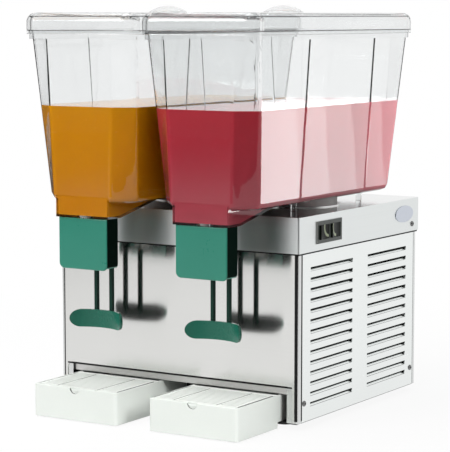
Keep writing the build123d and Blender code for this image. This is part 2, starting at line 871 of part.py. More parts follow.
# Valve sleeve, clamped through the floor of the nose
sleeve_z = nose_z - sleeve_length
sleeve_radius = plunger_radius + run_gap + sleeve_wall
lip_top = nose_floor_z + sleeve_lip_height
with BuildPart() as valve_sleeve:
    with Locations((0, tap_y, sleeve_z)):
        Cylinder(sleeve_radius, lip_top - sleeve_z, align=(Align.CENTER, Align.CENTER, Align.MIN))
    with Locations((0, tap_y, nose_z)):
        Cylinder(sleeve_flange, sleeve_flange_height, align=(Align.CENTER, Align.CENTER, Align.MAX))
    with Locations((0, tap_y, nose_floor_z)):
        Cylinder(sleeve_lip, sleeve_lip_height, align=(Align.CENTER, Align.CENTER, Align.MIN))
    with Locations((0, tap_y, nose_z)):
        Cylinder(plunger_radius + run_gap, 4 * sleeve_length, mode=Mode.SUBTRACT)
place_pair(valve_sleeve.part, "valve_sleeve")

# Hollow plunger: its head and seal close the sleeve's mouth, its ears are lifted by the lever
collar_z = nose_z - collar_drop
head_z = lip_top + seal_height
ear_y = tap_y + ear_setback
with BuildPart() as plunger:
    with Locations((0, tap_y, nose_z - plunger_tail)):
        Cylinder(
            plunger_radius,
            head_z - nose_z + plunger_tail,
            align=(Align.CENTER, Align.CENTER, Align.MIN),
        )
    with Locations((0, tap_y, head_z)):
        Cylinder(plunger_head, plunger_head_height, align=(Align.CENTER, Align.CENTER, Align.MIN))
    with Locations((0, tap_y, collar_z)):
        Cylinder(plunger_collar, collar_thickness, align=(Align.CENTER, Align.CENTER, Align.MIN))
    with Locations((0, ear_y, collar_z)):
        Box(2 * ear_reach, ear_depth, collar_thickness, align=(Align.CENTER, Align.CENTER, Align.MIN))
    with Locations((0, tap_y, nose_z - plunger_tail)):
        Cylinder(
            plunger_radius - plunger_wall,
            head_z - nose_z + plunger_tail,
            align=(Align.CENTER, Align.CENTER, Align.MIN),
            mode=Mode.SUBTRACT,
        )
    with Locations((0, tap_y, lip_top)):
        Box(
            4 * plunger_radius,
            port_width,
            port_height,
            align=(Align.CENTER, Align.CENTER, Align.MAX),
            mode=Mode.SUBTRACT,
        )
        Box(
            port_width,
            4 * plunger_radius,
            port_height,
            align=(Align.CENTER, Align.CENTER, Align.MAX),
            mode=Mode.SUBTRACT,
        )
place_pair(plunger.part, "plunger")

with BuildPart() as plunger_seal:
    with BuildSketch(Plane.XY.offset(lip_top)):
        with Locations((0, tap_y)):
            Circle(plunger_head)
            Circle(plunger_radius + run_gap, mode=Mode.SUBTRACT)
    extrude(amount=seal_height)
place_pair(plunger_seal.part, "plunger_seal")

# Plunger spring: half turns of a helix, each as two arcs with one tangent where they meet
spring_low = collar_z + collar_thickness + spring_wire / 2 + run_gap
spring_high = sleeve_z - spring_wire / 2 - run_gap
spring_pitch = (spring_high - spring_low) / spring_turns
spring_radius = (plunger_radius + sleeve_radius) / 2


def helix_point(angle):
    return Vector(
        spring_radius * math.cos(angle),
        tap_y + spring_radius * math.sin(angle),
        spring_low + spring_pitch * angle / (2 * math.pi),
    )


def helix_tangent(angle):
    rise = spring_pitch / (2 * math.pi)
    return Vector(-spring_radius * math.sin(angle), spring_radius * math.cos(angle), rise).normalized()


def half_turn(start_angle):
    start = helix_point(start_angle)
    end = helix_point(start_angle + math.pi)
    leave = helix_tangent(start_angle)
    arrive = helix_tangent(start_angle + math.pi)
    chord = end - start
    along = chord.dot(leave + arrive)
    spread = 1 - leave.dot(arrive)
    reach = (math.sqrt(4 * along**2 + 8 * spread * chord.dot(chord)) - 2 * along) / (4 * spread)
    middle = (start + leave * reach + end - arrive * reach) / 2
    TangentArc(start, middle, tangent=leave)
    TangentArc(middle, end, tangent=(end - arrive * reach - middle).normalized())


with BuildPart() as plunger_spring:
    with BuildLine() as spring_line:
        for half in range(2 * spring_turns):
            half_turn(half * math.pi)
    with BuildSketch(Plane(origin=spring_line.line @ 0, z_dir=spring_line.line % 0)):
        Circle(spring_wire / 2)
    sweep()
place_pair(plunger_spring.part, "plunger_spring")

samples = [helix_point(step * math.pi / 12) for step in range(24 * spring_turns + 1)]
nearest = min((a - b).length for i, a in enumerate(samples) for b in samples[i + 12 :])
print(f"plunger spring: least gap between turns {nearest - spring_wire:.2f} mm")

# Valve cover: a green U-shaped shroud in front of the tap, with a shelf that grips the sleeve
cover_front = bowl_low_front + cover_setback
cover_back = cover_front + cover_depth
cover_top = nose_z - fit_gap
cover_z = cover_top - cover_height
cover_half = cover_width / 2
pin_y = cover_front + cover_wall + fit_gap + pin_boss
pin_z = nose_z - pin_drop
pin_end = cover_half - cover_wall + pin_seat
arm_inner = plunger_collar + fit_gap
with BuildPart() as valve_cover:
    with Locations((0, cover_front, cover_z)):
        Box(cover_width, cover_depth, cover_height, align=(Align.CENTER, Align.MIN, Align.MIN))
    fillet(valve_cover.edges().filter_by(Axis.Y).group_by(Axis.Z)[0], cover_corner)
    fillet(valve_cover.faces().sort_by(Axis.Y)[0].edges(), cover_edge)
    with Locations((0, cover_front + cover_wall, cover_z)):
        Box(
            cover_width - 2 * cover_wall,
            cover_depth,
            2 * cover_height,
            align=(Align.CENTER, Align.MIN, Align.CENTER),
            mode=Mode.SUBTRACT,
        )
    with Locations((0, cover_front + cover_wall, nose_z - shelf_drop)):
        Box(
            cover_width - 2 * cover_wall,
            cover_depth - cover_wall,
            shelf_thickness,
            align=(Align.CENTER, Align.MIN, Align.MIN),
        )
    with Locations((0, tap_y, nose_z - shelf_drop)):
        Cylinder(sleeve_radius + run_gap, 4 * shelf_thickness, mode=Mode.SUBTRACT)
    boss_middle = cover_half - cover_wall - pin_boss_length / 2
    for x in (-boss_middle, boss_middle):
        with Locations(Location((x, pin_y, pin_z), (0, 90, 0))):
            Cylinder(pin_boss, pin_boss_length)
    with Locations(Location((0, pin_y, pin_z), (0, 90, 0))):
        Cylinder(pin_radius + run_gap / 2, 2 * pin_end, mode=Mode.SUBTRACT)
place_pair(valve_cover.part, "valve_cover")

with BuildPart() as lever_pins:
    for side in (-1, 1):
        with Locations(Location((side * (arm_inner + pin_end) / 2, pin_y, pin_z), (0, 90, 0))):
            Cylinder(pin_radius, pin_end - arm_inner)
place_pair(lever_pins.part, "lever_pins")

# Lever: two cranked arms that pass beside the plunger, two legs and a curved paddle for the cup
arm_top = pin_z - arm_drop
arm_z = arm_top - arm_height
lobe_z = collar_z - fit_gap - lobe_radius
leg_y = bowl_low_front + leg_setback
paddle_z = nose_z - paddle_drop - paddle_height
paddle_face = leg_y - leg_depth / 2 - paddle_wall / 2
with BuildPart() as paddle:
    with BuildSketch(Plane.XY.offset(paddle_z)):
        with Locations((0, paddle_face - paddle_radius)):
            Circle(paddle_radius + paddle_wall)
            Circle(paddle_radius, mode=Mode.SUBTRACT)
    extrude(amount=paddle_height)
    with BuildSketch(Plane.XZ.offset(-leg_y)):
        with Locations((0, paddle_z + paddle_height / 2)):
            SlotOverall(paddle_width, paddle_height)
    extrude(amount=paddle_radius, mode=Mode.INTERSECT)

with BuildPart() as lever:
    with BuildSketch(Plane.YZ.offset(arm_inner)):
        with Locations((pin_y, pin_z)):
            Circle(pin_boss)
        with Locations((pin_y, (arm_z + pin_z) / 2)):
            Rectangle(2 * pin_boss, pin_z - arm_z)
        with Locations(((pin_y - pin_boss + leg_y + leg_depth / 2) / 2, (arm_z + arm_top) / 2)):
            Rectangle(leg_y + leg_depth / 2 - pin_y + pin_boss, arm_height)
        with Locations((ear_y, lobe_z)):
            Circle(lobe_radius)
        with Locations((ear_y, (arm_z + lobe_z) / 2)):
            Rectangle(2 * lobe_radius, lobe_z - arm_z)
        with Locations((leg_y, (paddle_z + paddle_height / 2 + arm_top) / 2)):
            Rectangle(leg_depth, arm_top - paddle_z - paddle_height / 2)
        with Locations((pin_y, pin_z)):
            Circle(pin_radius + run_gap, mode=Mode.SUBTRACT)
    extrude(amount=arm_thickness)
    mirror(about=Plane.YZ)
    add(paddle.part)
place_pair(lever.part, "lever")

# Drip trays and grids
tray_half = tray_width / 2
tray_front = deck_front - tray_reach
tray_back = deck_front + tray_tail
step_y = deck_front - tray_travel_gap
tail_z = base_top + run_gap
well_z = tray_float + tray_wall
ledge_z = tray_top - grid_thickness
well_mid = (tray_front + step_y) / 2
tail_mid = (step_y + tray_back) / 2
with BuildPart() as drip_tray:
    with BuildSketch(Plane.XY.offset(tray_float)):
        with Locations((0, well_mid)):
            Rectangle(tray_width, step_y - tray_front)
    extrude(amount=tray_top - tray_float)
    fillet(drip_tray.edges().filter_by(Axis.Z).group_by(Axis.Y)[0], tray_corner)
    with BuildSketch(Plane.XY.offset(tail_z)):
        with Locations((0, tail_mid)):
            Rectangle(tray_width, tray_back - step_y)
    extrude(amount=tray_top - tail_z)
    with BuildSketch(Plane.XY.offset(ledge_z)):
        with Locations((0, well_mid)):
            Rectangle(tray_width - 2 * tray_wall, step_y - tray_front - 2 * tray_wall)
    extrude(amount=grid_thickness, mode=Mode.SUBTRACT)
    with BuildSketch(Plane.XY.offset(well_z)):
        with Locations((0, well_mid)):
            Rectangle(
                tray_width - 2 * tray_wall - 2 * tray_ledge,
                step_y - tray_front - 2 * tray_wall - 2 * tray_ledge,
            )
    extrude(amount=ledge_z - well_z, mode=Mode.SUBTRACT)
    with BuildSketch(Plane.XY.offset(tail_z + tray_wall)):
        with Locations((0, tail_mid)):
            Rectangle(tray_width - 2 * tray_wall, tray_back - step_y - 2 * tray_wall)
    extrude(amount=tray_top - tail_z - tray_wall, mode=Mode.SUBTRACT)
    with Locations(Location((0, tray_front, tray_top), (90, 0, 0))):
        Cylinder(finger_radius, 2 * tray_wall, mode=Mode.SUBTRACT)
place_pair(drip_tray.part, "drip_tray")

grid_half = tray_half - tray_wall - grid_gap
grid_front = tray_front + tray_wall + grid_gap
grid_back = step_y - tray_wall - grid_gap
grid_mid = (grid_front + grid_back) / 2
grid_top = ledge_z + grid_thickness
grid_rows = int((grid_back - grid_front - 2 * grid_border) / grid_slot_pitch)
centre_slot = 2 * grid_bar_offset - grid_bar
edge_slot = grid_half - grid_border - grid_bar_offset - grid_bar / 2
edge_slot_x = grid_half - grid_border - edge_slot / 2
with BuildPart() as drip_grid:
    with BuildSketch(Plane.XY.offset(ledge_z)):
        with Locations((0, grid_mid)):
            Rectangle(2 * grid_half, grid_back - grid_front)
        with Locations((0, grid_mid)):
            with GridLocations(0, grid_slot_pitch, 1, grid_rows):
                SlotOverall(centre_slot, grid_slot, mode=Mode.SUBTRACT)
            with GridLocations(2 * edge_slot_x, grid_slot_pitch, 2, grid_rows):
                SlotOverall(edge_slot, grid_slot, mode=Mode.SUBTRACT)
    extrude(amount=grid_thickness)
    with Locations((grid_bar_offset, grid_mid, grid_top), (-grid_bar_offset, grid_mid, grid_top)):
        Box(grid_seam, grid_back - grid_front, 2 * grid_seam_depth, mode=Mode.SUBTRACT)
place_pair(drip_grid.part, "drip_grid")

# Compressor on four rubber mounts
compressor_x = compressor_inset - cabinet_half
compressor_y = cabinet_back - compressor_back
compressor_z = base_top + mount_height + compressor_plate
compressor_height = motor_low - compressor_clear - compressor_z
stub_z = compressor_z + compressor_height + stub_height
with BuildPart() as compressor:
    with Locations((compressor_x, compressor_y, compressor_z)):
        Cylinder(compressor_radius, compressor_height, align=(Align.CENTER, Align.CENTER, Align.MIN))
    fillet(compressor.faces().sort_by(Axis.Z)[-1].edges(), compressor_round)
    with Locations((compressor_x, compressor_y, compressor_z + compressor_height / 2)):
        Cylinder(compressor_radius + compressor_seam, compressor_seam)
    with Locations((compressor_x, compressor_y, compressor_z)):
        Box(
            2 * (compressor_foot_x + mount_radius),
            2 * (compressor_foot_y + mount_radius),
            compressor_plate,
            align=(Align.CENTER, Align.CENTER, Align.MAX),
        )
    with Locations(
        (compressor_x + stub_x, compressor_y - stub_y, stub_z),
        (compressor_x + stub_x, compressor_y + stub_y, stub_z),
    ):
        Cylinder(
            stub_radius,
            stub_height + compressor_round,
            align=(Align.CENTER, Align.CENTER, Align.MAX),
        )
compressor.part.label = "compressor"
export_step(compressor.part, "parts/compressor.step")

with BuildPart() as compressor_mounts:
    with Locations((compressor_x, compressor_y, base_top)):
        with GridLocations(2 * compressor_foot_x, 2 * compressor_foot_y, 2, 2):
            Cylinder(mount_radius, mount_height, align=(Align.CENTER, Align.CENTER, Align.MIN))
compressor_mounts.part.label = "compressor_mounts"
export_step(compressor_mounts.part, "parts/compressor_mounts.step")


def pipe(points, bend, radius):
    with BuildLine() as route:
        FilletPolyline(*points, radius=bend)
    with BuildSketch(Plane(origin=route.line @ 0, z_dir=route.line % 0)) as bore:
        Circle(radius)
    sweep(bore.sketch, path=route.line)


# Condenser: finned coil that stands on the base pan behind the right louvres
condenser_x = cabinet_half - condenser_inset
fins_front = bay_back + condenser_front_gap
fins_back = cabinet_back - condenser_back_gap
fins_top = motor_low - condenser_clear
condenser_length = fins_back - fins_front
condenser_height = fins_top - condenser_bottom
coil_pitch = (condenser_height - 2 * coil_margin) / (coil_rows - 1)
coil_front = fins_front - coil_overrun
coil_back = fins_back + coil_overrun
coil_ports = coil_back + stub_height
coil_z = [
    condenser_bottom + condenser_height / 2 + (row - (coil_rows - 1) / 2) * coil_pitch
    for row in range(coil_rows)
]
coil_route = [(condenser_x, coil_ports, coil_z[0])]
for row in range(coil_rows):
    near, far = (coil_back, coil_front) if row % 2 == 0 else (coil_front, coil_back)
    if row > 0:
        coil_route.append((condenser_x, near, coil_z[row]))
    coil_route.append((condenser_x, far if row < coil_rows - 1 else coil_ports, coil_z[row]))
fin_pitch = condenser_length / (fin_count - 1)
with BuildPart() as condenser:
    for fin in range(fin_count):
        at_end = fin in (0, fin_count - 1)
        fin_z = base_top if at_end else condenser_bottom
        with Locations((condenser_x, fins_front + fin * fin_pitch, fin_z)):
            Box(
                condenser_thickness,
                end_fin_sheet if at_end else fin_sheet,
                fins_top - fin_z,
                align=(Align.CENTER, Align.CENTER, Align.MIN),
            )
    pipe(coil_route, coil_pitch / 2 - 1, coil_radius)
condenser.part.label = "condenser"
export_step(condenser.part, "parts/condenser.step")

# Fan: shroud against the condenser, motor on a cross bar, blades on the motor's shaft
shroud_x = condenser_x - condenser_thickness / 2
fan_y = (fins_front + fins_back) / 2
fan_z = condenser_bottom + condenser_height / 2
fan_radius = min(condenser_length, condenser_height) / 2 - fan_margin
blade_x = shroud_x - shroud_sheet - fan_spacing
motor_face = blade_x - fan_width - fan_spacing
bar_reach = fan_radius + fan_gap + bracket_sheet
with BuildPart() as fan_shroud:
    with BuildSketch(Plane.YZ.offset(shroud_x - shroud_sheet)):
        with Locations((fan_y, fan_z)):
            Rectangle(condenser_length, condenser_height)
            Circle(fan_radius + fan_gap, mode=Mode.SUBTRACT)
    extrude(amount=shroud_sheet)
    for side in (-1, 1):
        with Locations((shroud_x - shroud_sheet, fan_y + side * bar_reach, fan_z)):
            Box(
                shroud_x - shroud_sheet - motor_face + bracket_sheet,
                bracket_sheet,
                bracket_width,
                align=(Align.MAX, Align.CENTER, Align.CENTER),
            )
    with Locations((motor_face, fan_y, fan_z)):
        Box(
            bracket_sheet,
            2 * bar_reach + bracket_sheet,
            bracket_width,
            align=(Align.MAX, Align.CENTER, Align.CENTER),
        )
    with Locations(Location((motor_face, fan_y, fan_z), (0, 90, 0))):
        Cylinder(fan_shaft + fit_gap, 4 * bracket_sheet, mode=Mode.SUBTRACT)
fan_shroud.part.label = "fan_shroud"
export_step(fan_shroud.part, "parts/fan_shroud.step")

motor_back = motor_face - bracket_sheet
with BuildPart() as fan_motor:
    with Locations(Location((motor_back, fan_y, fan_z), (0, -90, 0))):
        Cylinder(
            fan_motor_radius,
            fan_motor_length,
            align=(Align.CENTER, Align.CENTER, Align.MIN),
        )
        Cylinder(
            fan_shaft + run_gap,
            fan_motor_length / 2 + fit_gap,
            align=(Align.CENTER, Align.CENTER, Align.MIN),
            mode=Mode.SUBTRACT,
        )
    chamfer(fan_motor.faces().sort_by(Axis.X)[0].edges(), bracket_sheet)
fan_motor.part.label = "fan_motor"
export_step(fan_motor.part, "parts/fan_motor.step")

with BuildPart() as fan:
    with Locations(Location((blade_x - fan_width, fan_y, fan_z), (0, 90, 0))):
        Cylinder(fan_hub, fan_width, align=(Align.CENTER, Align.CENTER, Align.MIN))
        Cylinder(
            fan_shaft,
            motor_face - motor_back + fan_spacing + fan_motor_length / 2,
            align=(Align.CENTER, Align.CENTER, Align.MAX),
        )
    with Locations(Location((blade_x - fan_width / 2, fan_y, fan_z), (0, 90, 0))):
        with PolarLocations(fan_hub - fan_blade_sheet, fan_blades):
            Box(
                fan_radius - fan_hub,
                (fan_width - fan_blade_sheet) / math.sin(math.radians(fan_blade_pitch)),
                fan_blade_sheet,
                rotation=(fan_blade_pitch, 0, 0),
                align=(Align.MIN, Align.CENTER, Align.CENTER),
            )
fan.part.label = "fan"
export_step(fan.part, "parts/fan.step")

# Refrigerant lines and filter drier
line_y = cabinet_back - sheet - 2 * line_radius - fit_gap
discharge_top = stub_z + 2 * line_bend + line_bend / 2
discharge_x = compressor_x + stub_x
discharge_y = compressor_y + stub_y
with BuildPart() as discharge_line:
    pipe(
        [
            (discharge_x, discharge_y, stub_z),
            (discharge_x, discharge_y, discharge_top),
            (discharge_x, line_y, discharge_top),
            (condenser_x, line_y, discharge_top),
            (condenser_x, line_y, coil_z[-1]),
            (condenser_x, coil_ports, coil_z[-1]),
        ],
        line_bend,
        line_radius,
    )
discharge_line.part.label = "discharge_line"
export_step(discharge_line.part, "parts/discharge_line.step")

drier_y = line_y - line_radius - 2 * drier_radius / 2 - fit_gap
drier_z = coil_z[0] + 2 * line_bend
with BuildPart() as filter_drier:
    with Locations((drier_x, drier_y, drier_z)):
        Cylinder(drier_radius, drier_length, align=(Align.CENTER, Align.CENTER, Align.MIN))
    fillet(filter_drier.edges().filter_by(GeomType.CIRCLE), drier_radius / 2)
filter_drier.part.label = "filter_drier"
export_step(filter_drier.part, "parts/filter_drier.step")

liquid_z = deck_under - 2.2 * motor_drop
capillary_y = liquid_y + motor_drop
with BuildPart() as liquid_line:
    pipe(
        [
            (condenser_x, coil_ports, coil_z[0]),
            (condenser_x, line_y, coil_z[0]),
            (drier_x, line_y, coil_z[0]),
            (drier_x, drier_y, coil_z[0]),
            (drier_x, drier_y, drier_z),
        ],
        line_bend / 2,
        line_radius,
    )
liquid_line.part.label = "liquid_line"
export_step(liquid_line.part, "parts/liquid_line.step")

with BuildPart() as capillary_line:
    pipe(
        [
            (bowl_x["left"], liquid_y, deck_z + line_bend),
            (bowl_x["left"], liquid_y, liquid_z),
            (bowl_x["left"], capillary_y, liquid_z),
            (bowl_x["right"], capillary_y, liquid_z),
            (bowl_x["right"], liquid_y, liquid_z),
            (bowl_x["right"], liquid_y, deck_z + line_bend),
        ],
        line_bend,
        capillary_radius,
    )
    with Locations(Location((drier_x, capillary_y, liquid_z), (0, 90, 0))):
        Cylinder(capillary_radius + tee_wall, tee_length)
    pipe(
        [
            (drier_x, drier_y, drier_z + drier_length),
            (drier_x, drier_y, liquid_z),
            (drier_x, capillary_y, liquid_z),
        ],
        line_bend,
        capillary_radius,
    )
capillary_line.part.label = "capillary_line"
export_step(capillary_line.part, "parts/capillary_line.step")

suction_z = liquid_z
suction_left = bowl_x["left"] + stub_inner_x
suction_right = bowl_x["right"] - stub_inner_x
suction_low = stub_z + 1.5 * line_bend
suction_trunk = discharge_x + 2 * line_bend + line_radius
with BuildPart() as suction_line:
    pipe(
        [
            (suction_left, evap_y, deck_z + line_bend),
            (suction_left, evap_y, suction_z),
            (suction_right, evap_y, suction_z),
            (suction_right, evap_y, deck_z + line_bend),
        ],
        line_bend,
        line_radius,
    )
    with Locations(Location((suction_trunk, evap_y, suction_z), (0, 90, 0))):
        Cylinder(line_radius + tee_wall, tee_length)
    pipe(
        [
            (suction_trunk, evap_y, suction_z),
            (suction_trunk, evap_y, suction_low),
            (suction_trunk, compressor_y - stub_y, suction_low),
            (discharge_x, compressor_y - stub_y, suction_low),
            (discharge_x, compressor_y - stub_y, stub_z),
        ],
        line_bend / 2,
        line_radius,
    )
suction_line.part.label = "suction_line"
export_step(suction_line.part, "parts/suction_line.step")

# Electrics and cord gland
thermostat_x = thermostat_inset - cabinet_half
thermostat_back = cabinet_back - sheet
thermostat_face = thermostat_back - thermostat_size[1]
thermostat_z = skirt_z - thermostat_size[2]
with BuildPart() as thermostat:
    with Locations((thermostat_x, thermostat_back, thermostat_z)):
        Box(*thermostat_size, align=(Align.CENTER, Align.MAX, Align.CENTER))
    fillet(thermostat.edges().filter_by(Axis.Y), skirt_lip)
    with Locations(Location((thermostat_x, thermostat_face, thermostat_z), (90, 0, 0))):
        Cylinder(line_radius, 2 * line_radius, align=(Align.CENTER, Align.CENTER, Align.MIN))
thermostat.part.label = "thermostat"
export_step(thermostat.part, "parts/thermostat.step")

wiring_x = wiring_side_gap + louvre_reach + sheet - cabinet_half
wiring_front = bay_back + wiring_front_gap
wiring_back = compressor_y - compressor_foot_y - mount_radius - wiring_back_gap
with BuildPart() as wiring_box:
    with Locations((wiring_x, wiring_front, base_top)):
        Box(
            wiring_width,
            wiring_back - wiring_front,
            wiring_height,
            align=(Align.MIN, Align.MIN, Align.MIN),
        )
    fillet(wiring_box.edges().filter_by(Axis.Z), 2 * skirt_lip)
    fillet(wiring_box.faces().sort_by(Axis.Z)[-1].edges(), skirt_lip)
wiring_box.part.label = "wiring_box"
export_step(wiring_box.part, "parts/wiring_box.step")

with BuildPart() as cord_gland:
    with Locations(Location((gland_x, cabinet_back, gland_z), (-90, 0, 0))):
        Cylinder(gland_flange, gland_flange_sheet, align=(Align.CENTER, Align.CENTER, Align.MIN))
        Cylinder(
            gland_radius,
            gland_flange_sheet + gland_nose,
            align=(Align.CENTER, Align.CENTER, Align.MIN),
        )
        Cylinder(gland_radius - run_gap, sheet + gland_nut, align=(Align.CENTER, Align.CENTER, Align.MAX))
    with Locations(Location((gland_x, cabinet_back - sheet, gland_z), (-90, 0, 0))):
        Cylinder(gland_flange, gland_nut, align=(Align.CENTER, Align.CENTER, Align.MAX))
    with Locations(Location((gland_x, cabinet_back, gland_z), (-90, 0, 0))):
        Cylinder(gland_bore, 8 * gland_nut, mode=Mode.SUBTRACT)
cord_gland.part.label = "cord_gland"
export_step(cord_gland.part, "parts/cord_gland.step")
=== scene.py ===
import math

import bmesh
import bpy
from mathutils import Matrix, Quaternion, Vector


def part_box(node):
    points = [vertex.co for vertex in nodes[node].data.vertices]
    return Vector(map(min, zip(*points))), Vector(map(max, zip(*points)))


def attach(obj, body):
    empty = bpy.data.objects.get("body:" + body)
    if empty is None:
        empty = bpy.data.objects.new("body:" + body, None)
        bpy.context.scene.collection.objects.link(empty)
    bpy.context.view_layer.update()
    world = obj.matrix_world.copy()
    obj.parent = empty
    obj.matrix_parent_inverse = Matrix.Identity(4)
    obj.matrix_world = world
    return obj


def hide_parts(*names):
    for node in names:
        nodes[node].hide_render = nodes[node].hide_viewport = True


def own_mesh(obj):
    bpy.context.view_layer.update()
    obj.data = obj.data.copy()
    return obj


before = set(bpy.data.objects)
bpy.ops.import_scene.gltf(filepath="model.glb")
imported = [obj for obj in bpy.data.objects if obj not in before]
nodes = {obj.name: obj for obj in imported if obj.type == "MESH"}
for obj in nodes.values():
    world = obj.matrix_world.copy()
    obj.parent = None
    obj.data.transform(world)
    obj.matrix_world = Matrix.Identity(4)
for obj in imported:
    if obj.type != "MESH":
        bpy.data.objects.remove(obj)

scene = bpy.context.scene
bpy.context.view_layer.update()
sides = ("left", "right")
print("frame loaded:", len(nodes), "nodes")


# shader helpers
class Wire:
    def __init__(self, look, socket):
        self.look = look
        self.socket = socket

    def sum(self, operation, first, second):
        return self.look.node("ShaderNodeMath", {"operation": operation}, {0: first, 1: second})

    def __add__(self, other):
        return self.sum("ADD", self, other)

    def __sub__(self, other):
        return self.sum("SUBTRACT", self, other)

    def __rsub__(self, other):
        return self.sum("SUBTRACT", other, self)

    def __mul__(self, other):
        return self.sum("MULTIPLY", self, other)

    def __pow__(self, other):
        return self.sum("POWER", self, other)

    def __or__(self, other):  # the larger of the two
        return self.sum("MAXIMUM", self, other)

    __radd__ = __add__
    __rmul__ = __mul__


class Look:
    def __init__(self, name, kind="materials", shader="Principled BSDF"):
        self.material = getattr(bpy.data, kind).new(name)
        self.material.use_nodes = True
        self.tree = self.material.node_tree
        self.shader = self.tree.nodes[shader]

    def feed(self, socket, value):
        if isinstance(value, Wire):
            self.tree.links.new(value.socket, socket)
        else:
            socket.default_value = value

    def node(self, kind, settings=None, values=None, out=0):
        made = self.tree.nodes.new(kind)
        for key, value in (settings or {}).items():
            if key == "stops":  # colour ramp, as (place, colour) pairs
                while len(made.color_ramp.elements) < len(value):
                    made.color_ramp.elements.new(0.5)
                for element, (place, tint) in zip(made.color_ramp.elements, value):
                    element.position = place
                    element.color = colour(*tint)
            else:
                setattr(made, key, value)
        for key, value in (values or {}).items():
            self.feed(made.inputs[key], value)
        return Wire(self, made.outputs[out])

    def finish(self, values, surface=None, volume=None):
        for key, value in values.items():
            self.feed(self.shader.inputs[key], value)
        output = self.tree.get_output_node("ALL")
        if surface:
            self.feed(output.inputs["Surface"], surface)
        if volume:
            self.feed(output.inputs["Volume"], volume)
        return self.material


def colour(red, green, blue):
    return (red, green, blue, 1)


def grain(look, scale, detail=2.0, roughness=0.5):
    spot = look.node("ShaderNodeTexCoord", out="Object")
    turned = look.node("ShaderNodeMapping", values={"Vector": spot, "Scale": scale})
    settings = {"Vector": turned, "Scale": 1.0, "Detail": detail, "Roughness": roughness}
    return look.node("ShaderNodeTexNoise", values=settings, out="Fac")


def along(look, axis, source="Object"):
    spot = look.node("ShaderNodeTexCoord", out=source)
    return look.node("ShaderNodeSeparateXYZ", values={0: spot}, out=axis)


def blend(look, amount, first, second):
    return look.node("ShaderNodeMix", {"data_type": "RGBA"}, {0: amount, 6: first, 7: second}, 2)


def bumped(look, rise, strength, distance):
    values = {"Strength": strength, "Distance": distance, "Height": rise}
    return look.node("ShaderNodeBump", values=values)


def spread(look, value, low, high, newLow, newHigh):
    limits = {0: value, 1: low, 2: high, 3: newLow, 4: newHigh}
    return look.node("ShaderNodeMapRange", {"clamp": True}, limits)


# brushed steel
steelPlan = {
    "clouds": (9, 9, 9),
    "lineShare": 0.7,  # how much of the tone is brush lines, the rest is clouds
    "tones": (0.2, 0.8),
    "brushTurn": 0.25,
    "bumpDeep": 0.0004,
}
steelGrades = {
    "frontSteel": {
        "base": (0.7, 0.7, 0.685), "spread": 0.035, "rough": (0.1, 0.135),
        "bump": 0.03, "grain": (3, 3, 1500), "brushed": 0.98,
    },
    "sideSteel": {
        "base": (0.83, 0.855, 0.845), "spread": 0.035, "rough": (0.12, 0.18),
        "bump": 0.18, "grain": (4, 4, 1300),
    },
    "deckSteel": {
        "base": (0.75, 0.775, 0.77), "spread": 0.045, "rough": (0.26, 0.34),
        "bump": 0.1, "grain": (4, 4, 1300),
    },
    "deckTop": {
        "base": (0.68, 0.69, 0.685), "spread": 0.045, "rough": (0.08, 0.14),
        "bump": 0.05, "grain": (4, 900, 4),
    },
    "railSteel": {
        "base": (0.66, 0.65, 0.64), "spread": 0.05, "rough": (0.3, 0.4),
        "bump": 0.08, "grain": (5, 700, 900),
    },
    "postSteel": {
        "base": (0.68, 0.69, 0.685), "spread": 0.05, "rough": (0.2, 0.3),
        "bump": 0.08, "grain": (900, 900, 6),
    },
    "plateSteel": {
        "base": (0.6, 0.635, 0.7), "spread": 0.05, "rough": (0.32, 0.42),
        "bump": 0.06, "grain": (5, 600, 900),
    },
    "domeSteel": {
        "base": (0.7, 0.7, 0.695), "spread": 0.05, "rough": (0.14, 0.22),
        "bump": 0.06, "grain": (8, 8, 800),
    },
    "screwSteel": {
        "base": (0.2, 0.2, 0.2), "spread": 0.04, "rough": (0.2, 0.3),
        "bump": 0.04, "grain": (300, 300, 300),
    },
    "wireSteel": {
        "base": (0.55, 0.55, 0.545), "spread": 0.05, "rough": (0.25, 0.35),
        "bump": 0.06, "grain": (300, 300, 300),
    },
}


def brushedSteel(name):
    grade = steelGrades[name]
    look = Look(name)
    lines = grain(look, grade["grain"], detail=3.0, roughness=0.6)
    clouds = grain(look, steelPlan["clouds"])
    tone = lines * steelPlan["lineShare"] + clouds * (1 - steelPlan["lineShare"])
    low = [part - grade["spread"] for part in grade["base"]]
    high = [part + grade["spread"] for part in grade["base"]]
    return look.finish({
        "Base Color": blend(look, tone, colour(*low), colour(*high)),
        "Metallic": 1.0,
        "Roughness": spread(look, tone, *steelPlan["tones"], *grade["rough"]),
        "Anisotropic": grade.get("brushed", 0.0),
        "Anisotropic Rotation": steelPlan["brushTurn"],
        "Normal": bumped(look, lines, grade["bump"], steelPlan["bumpDeep"]),
    })


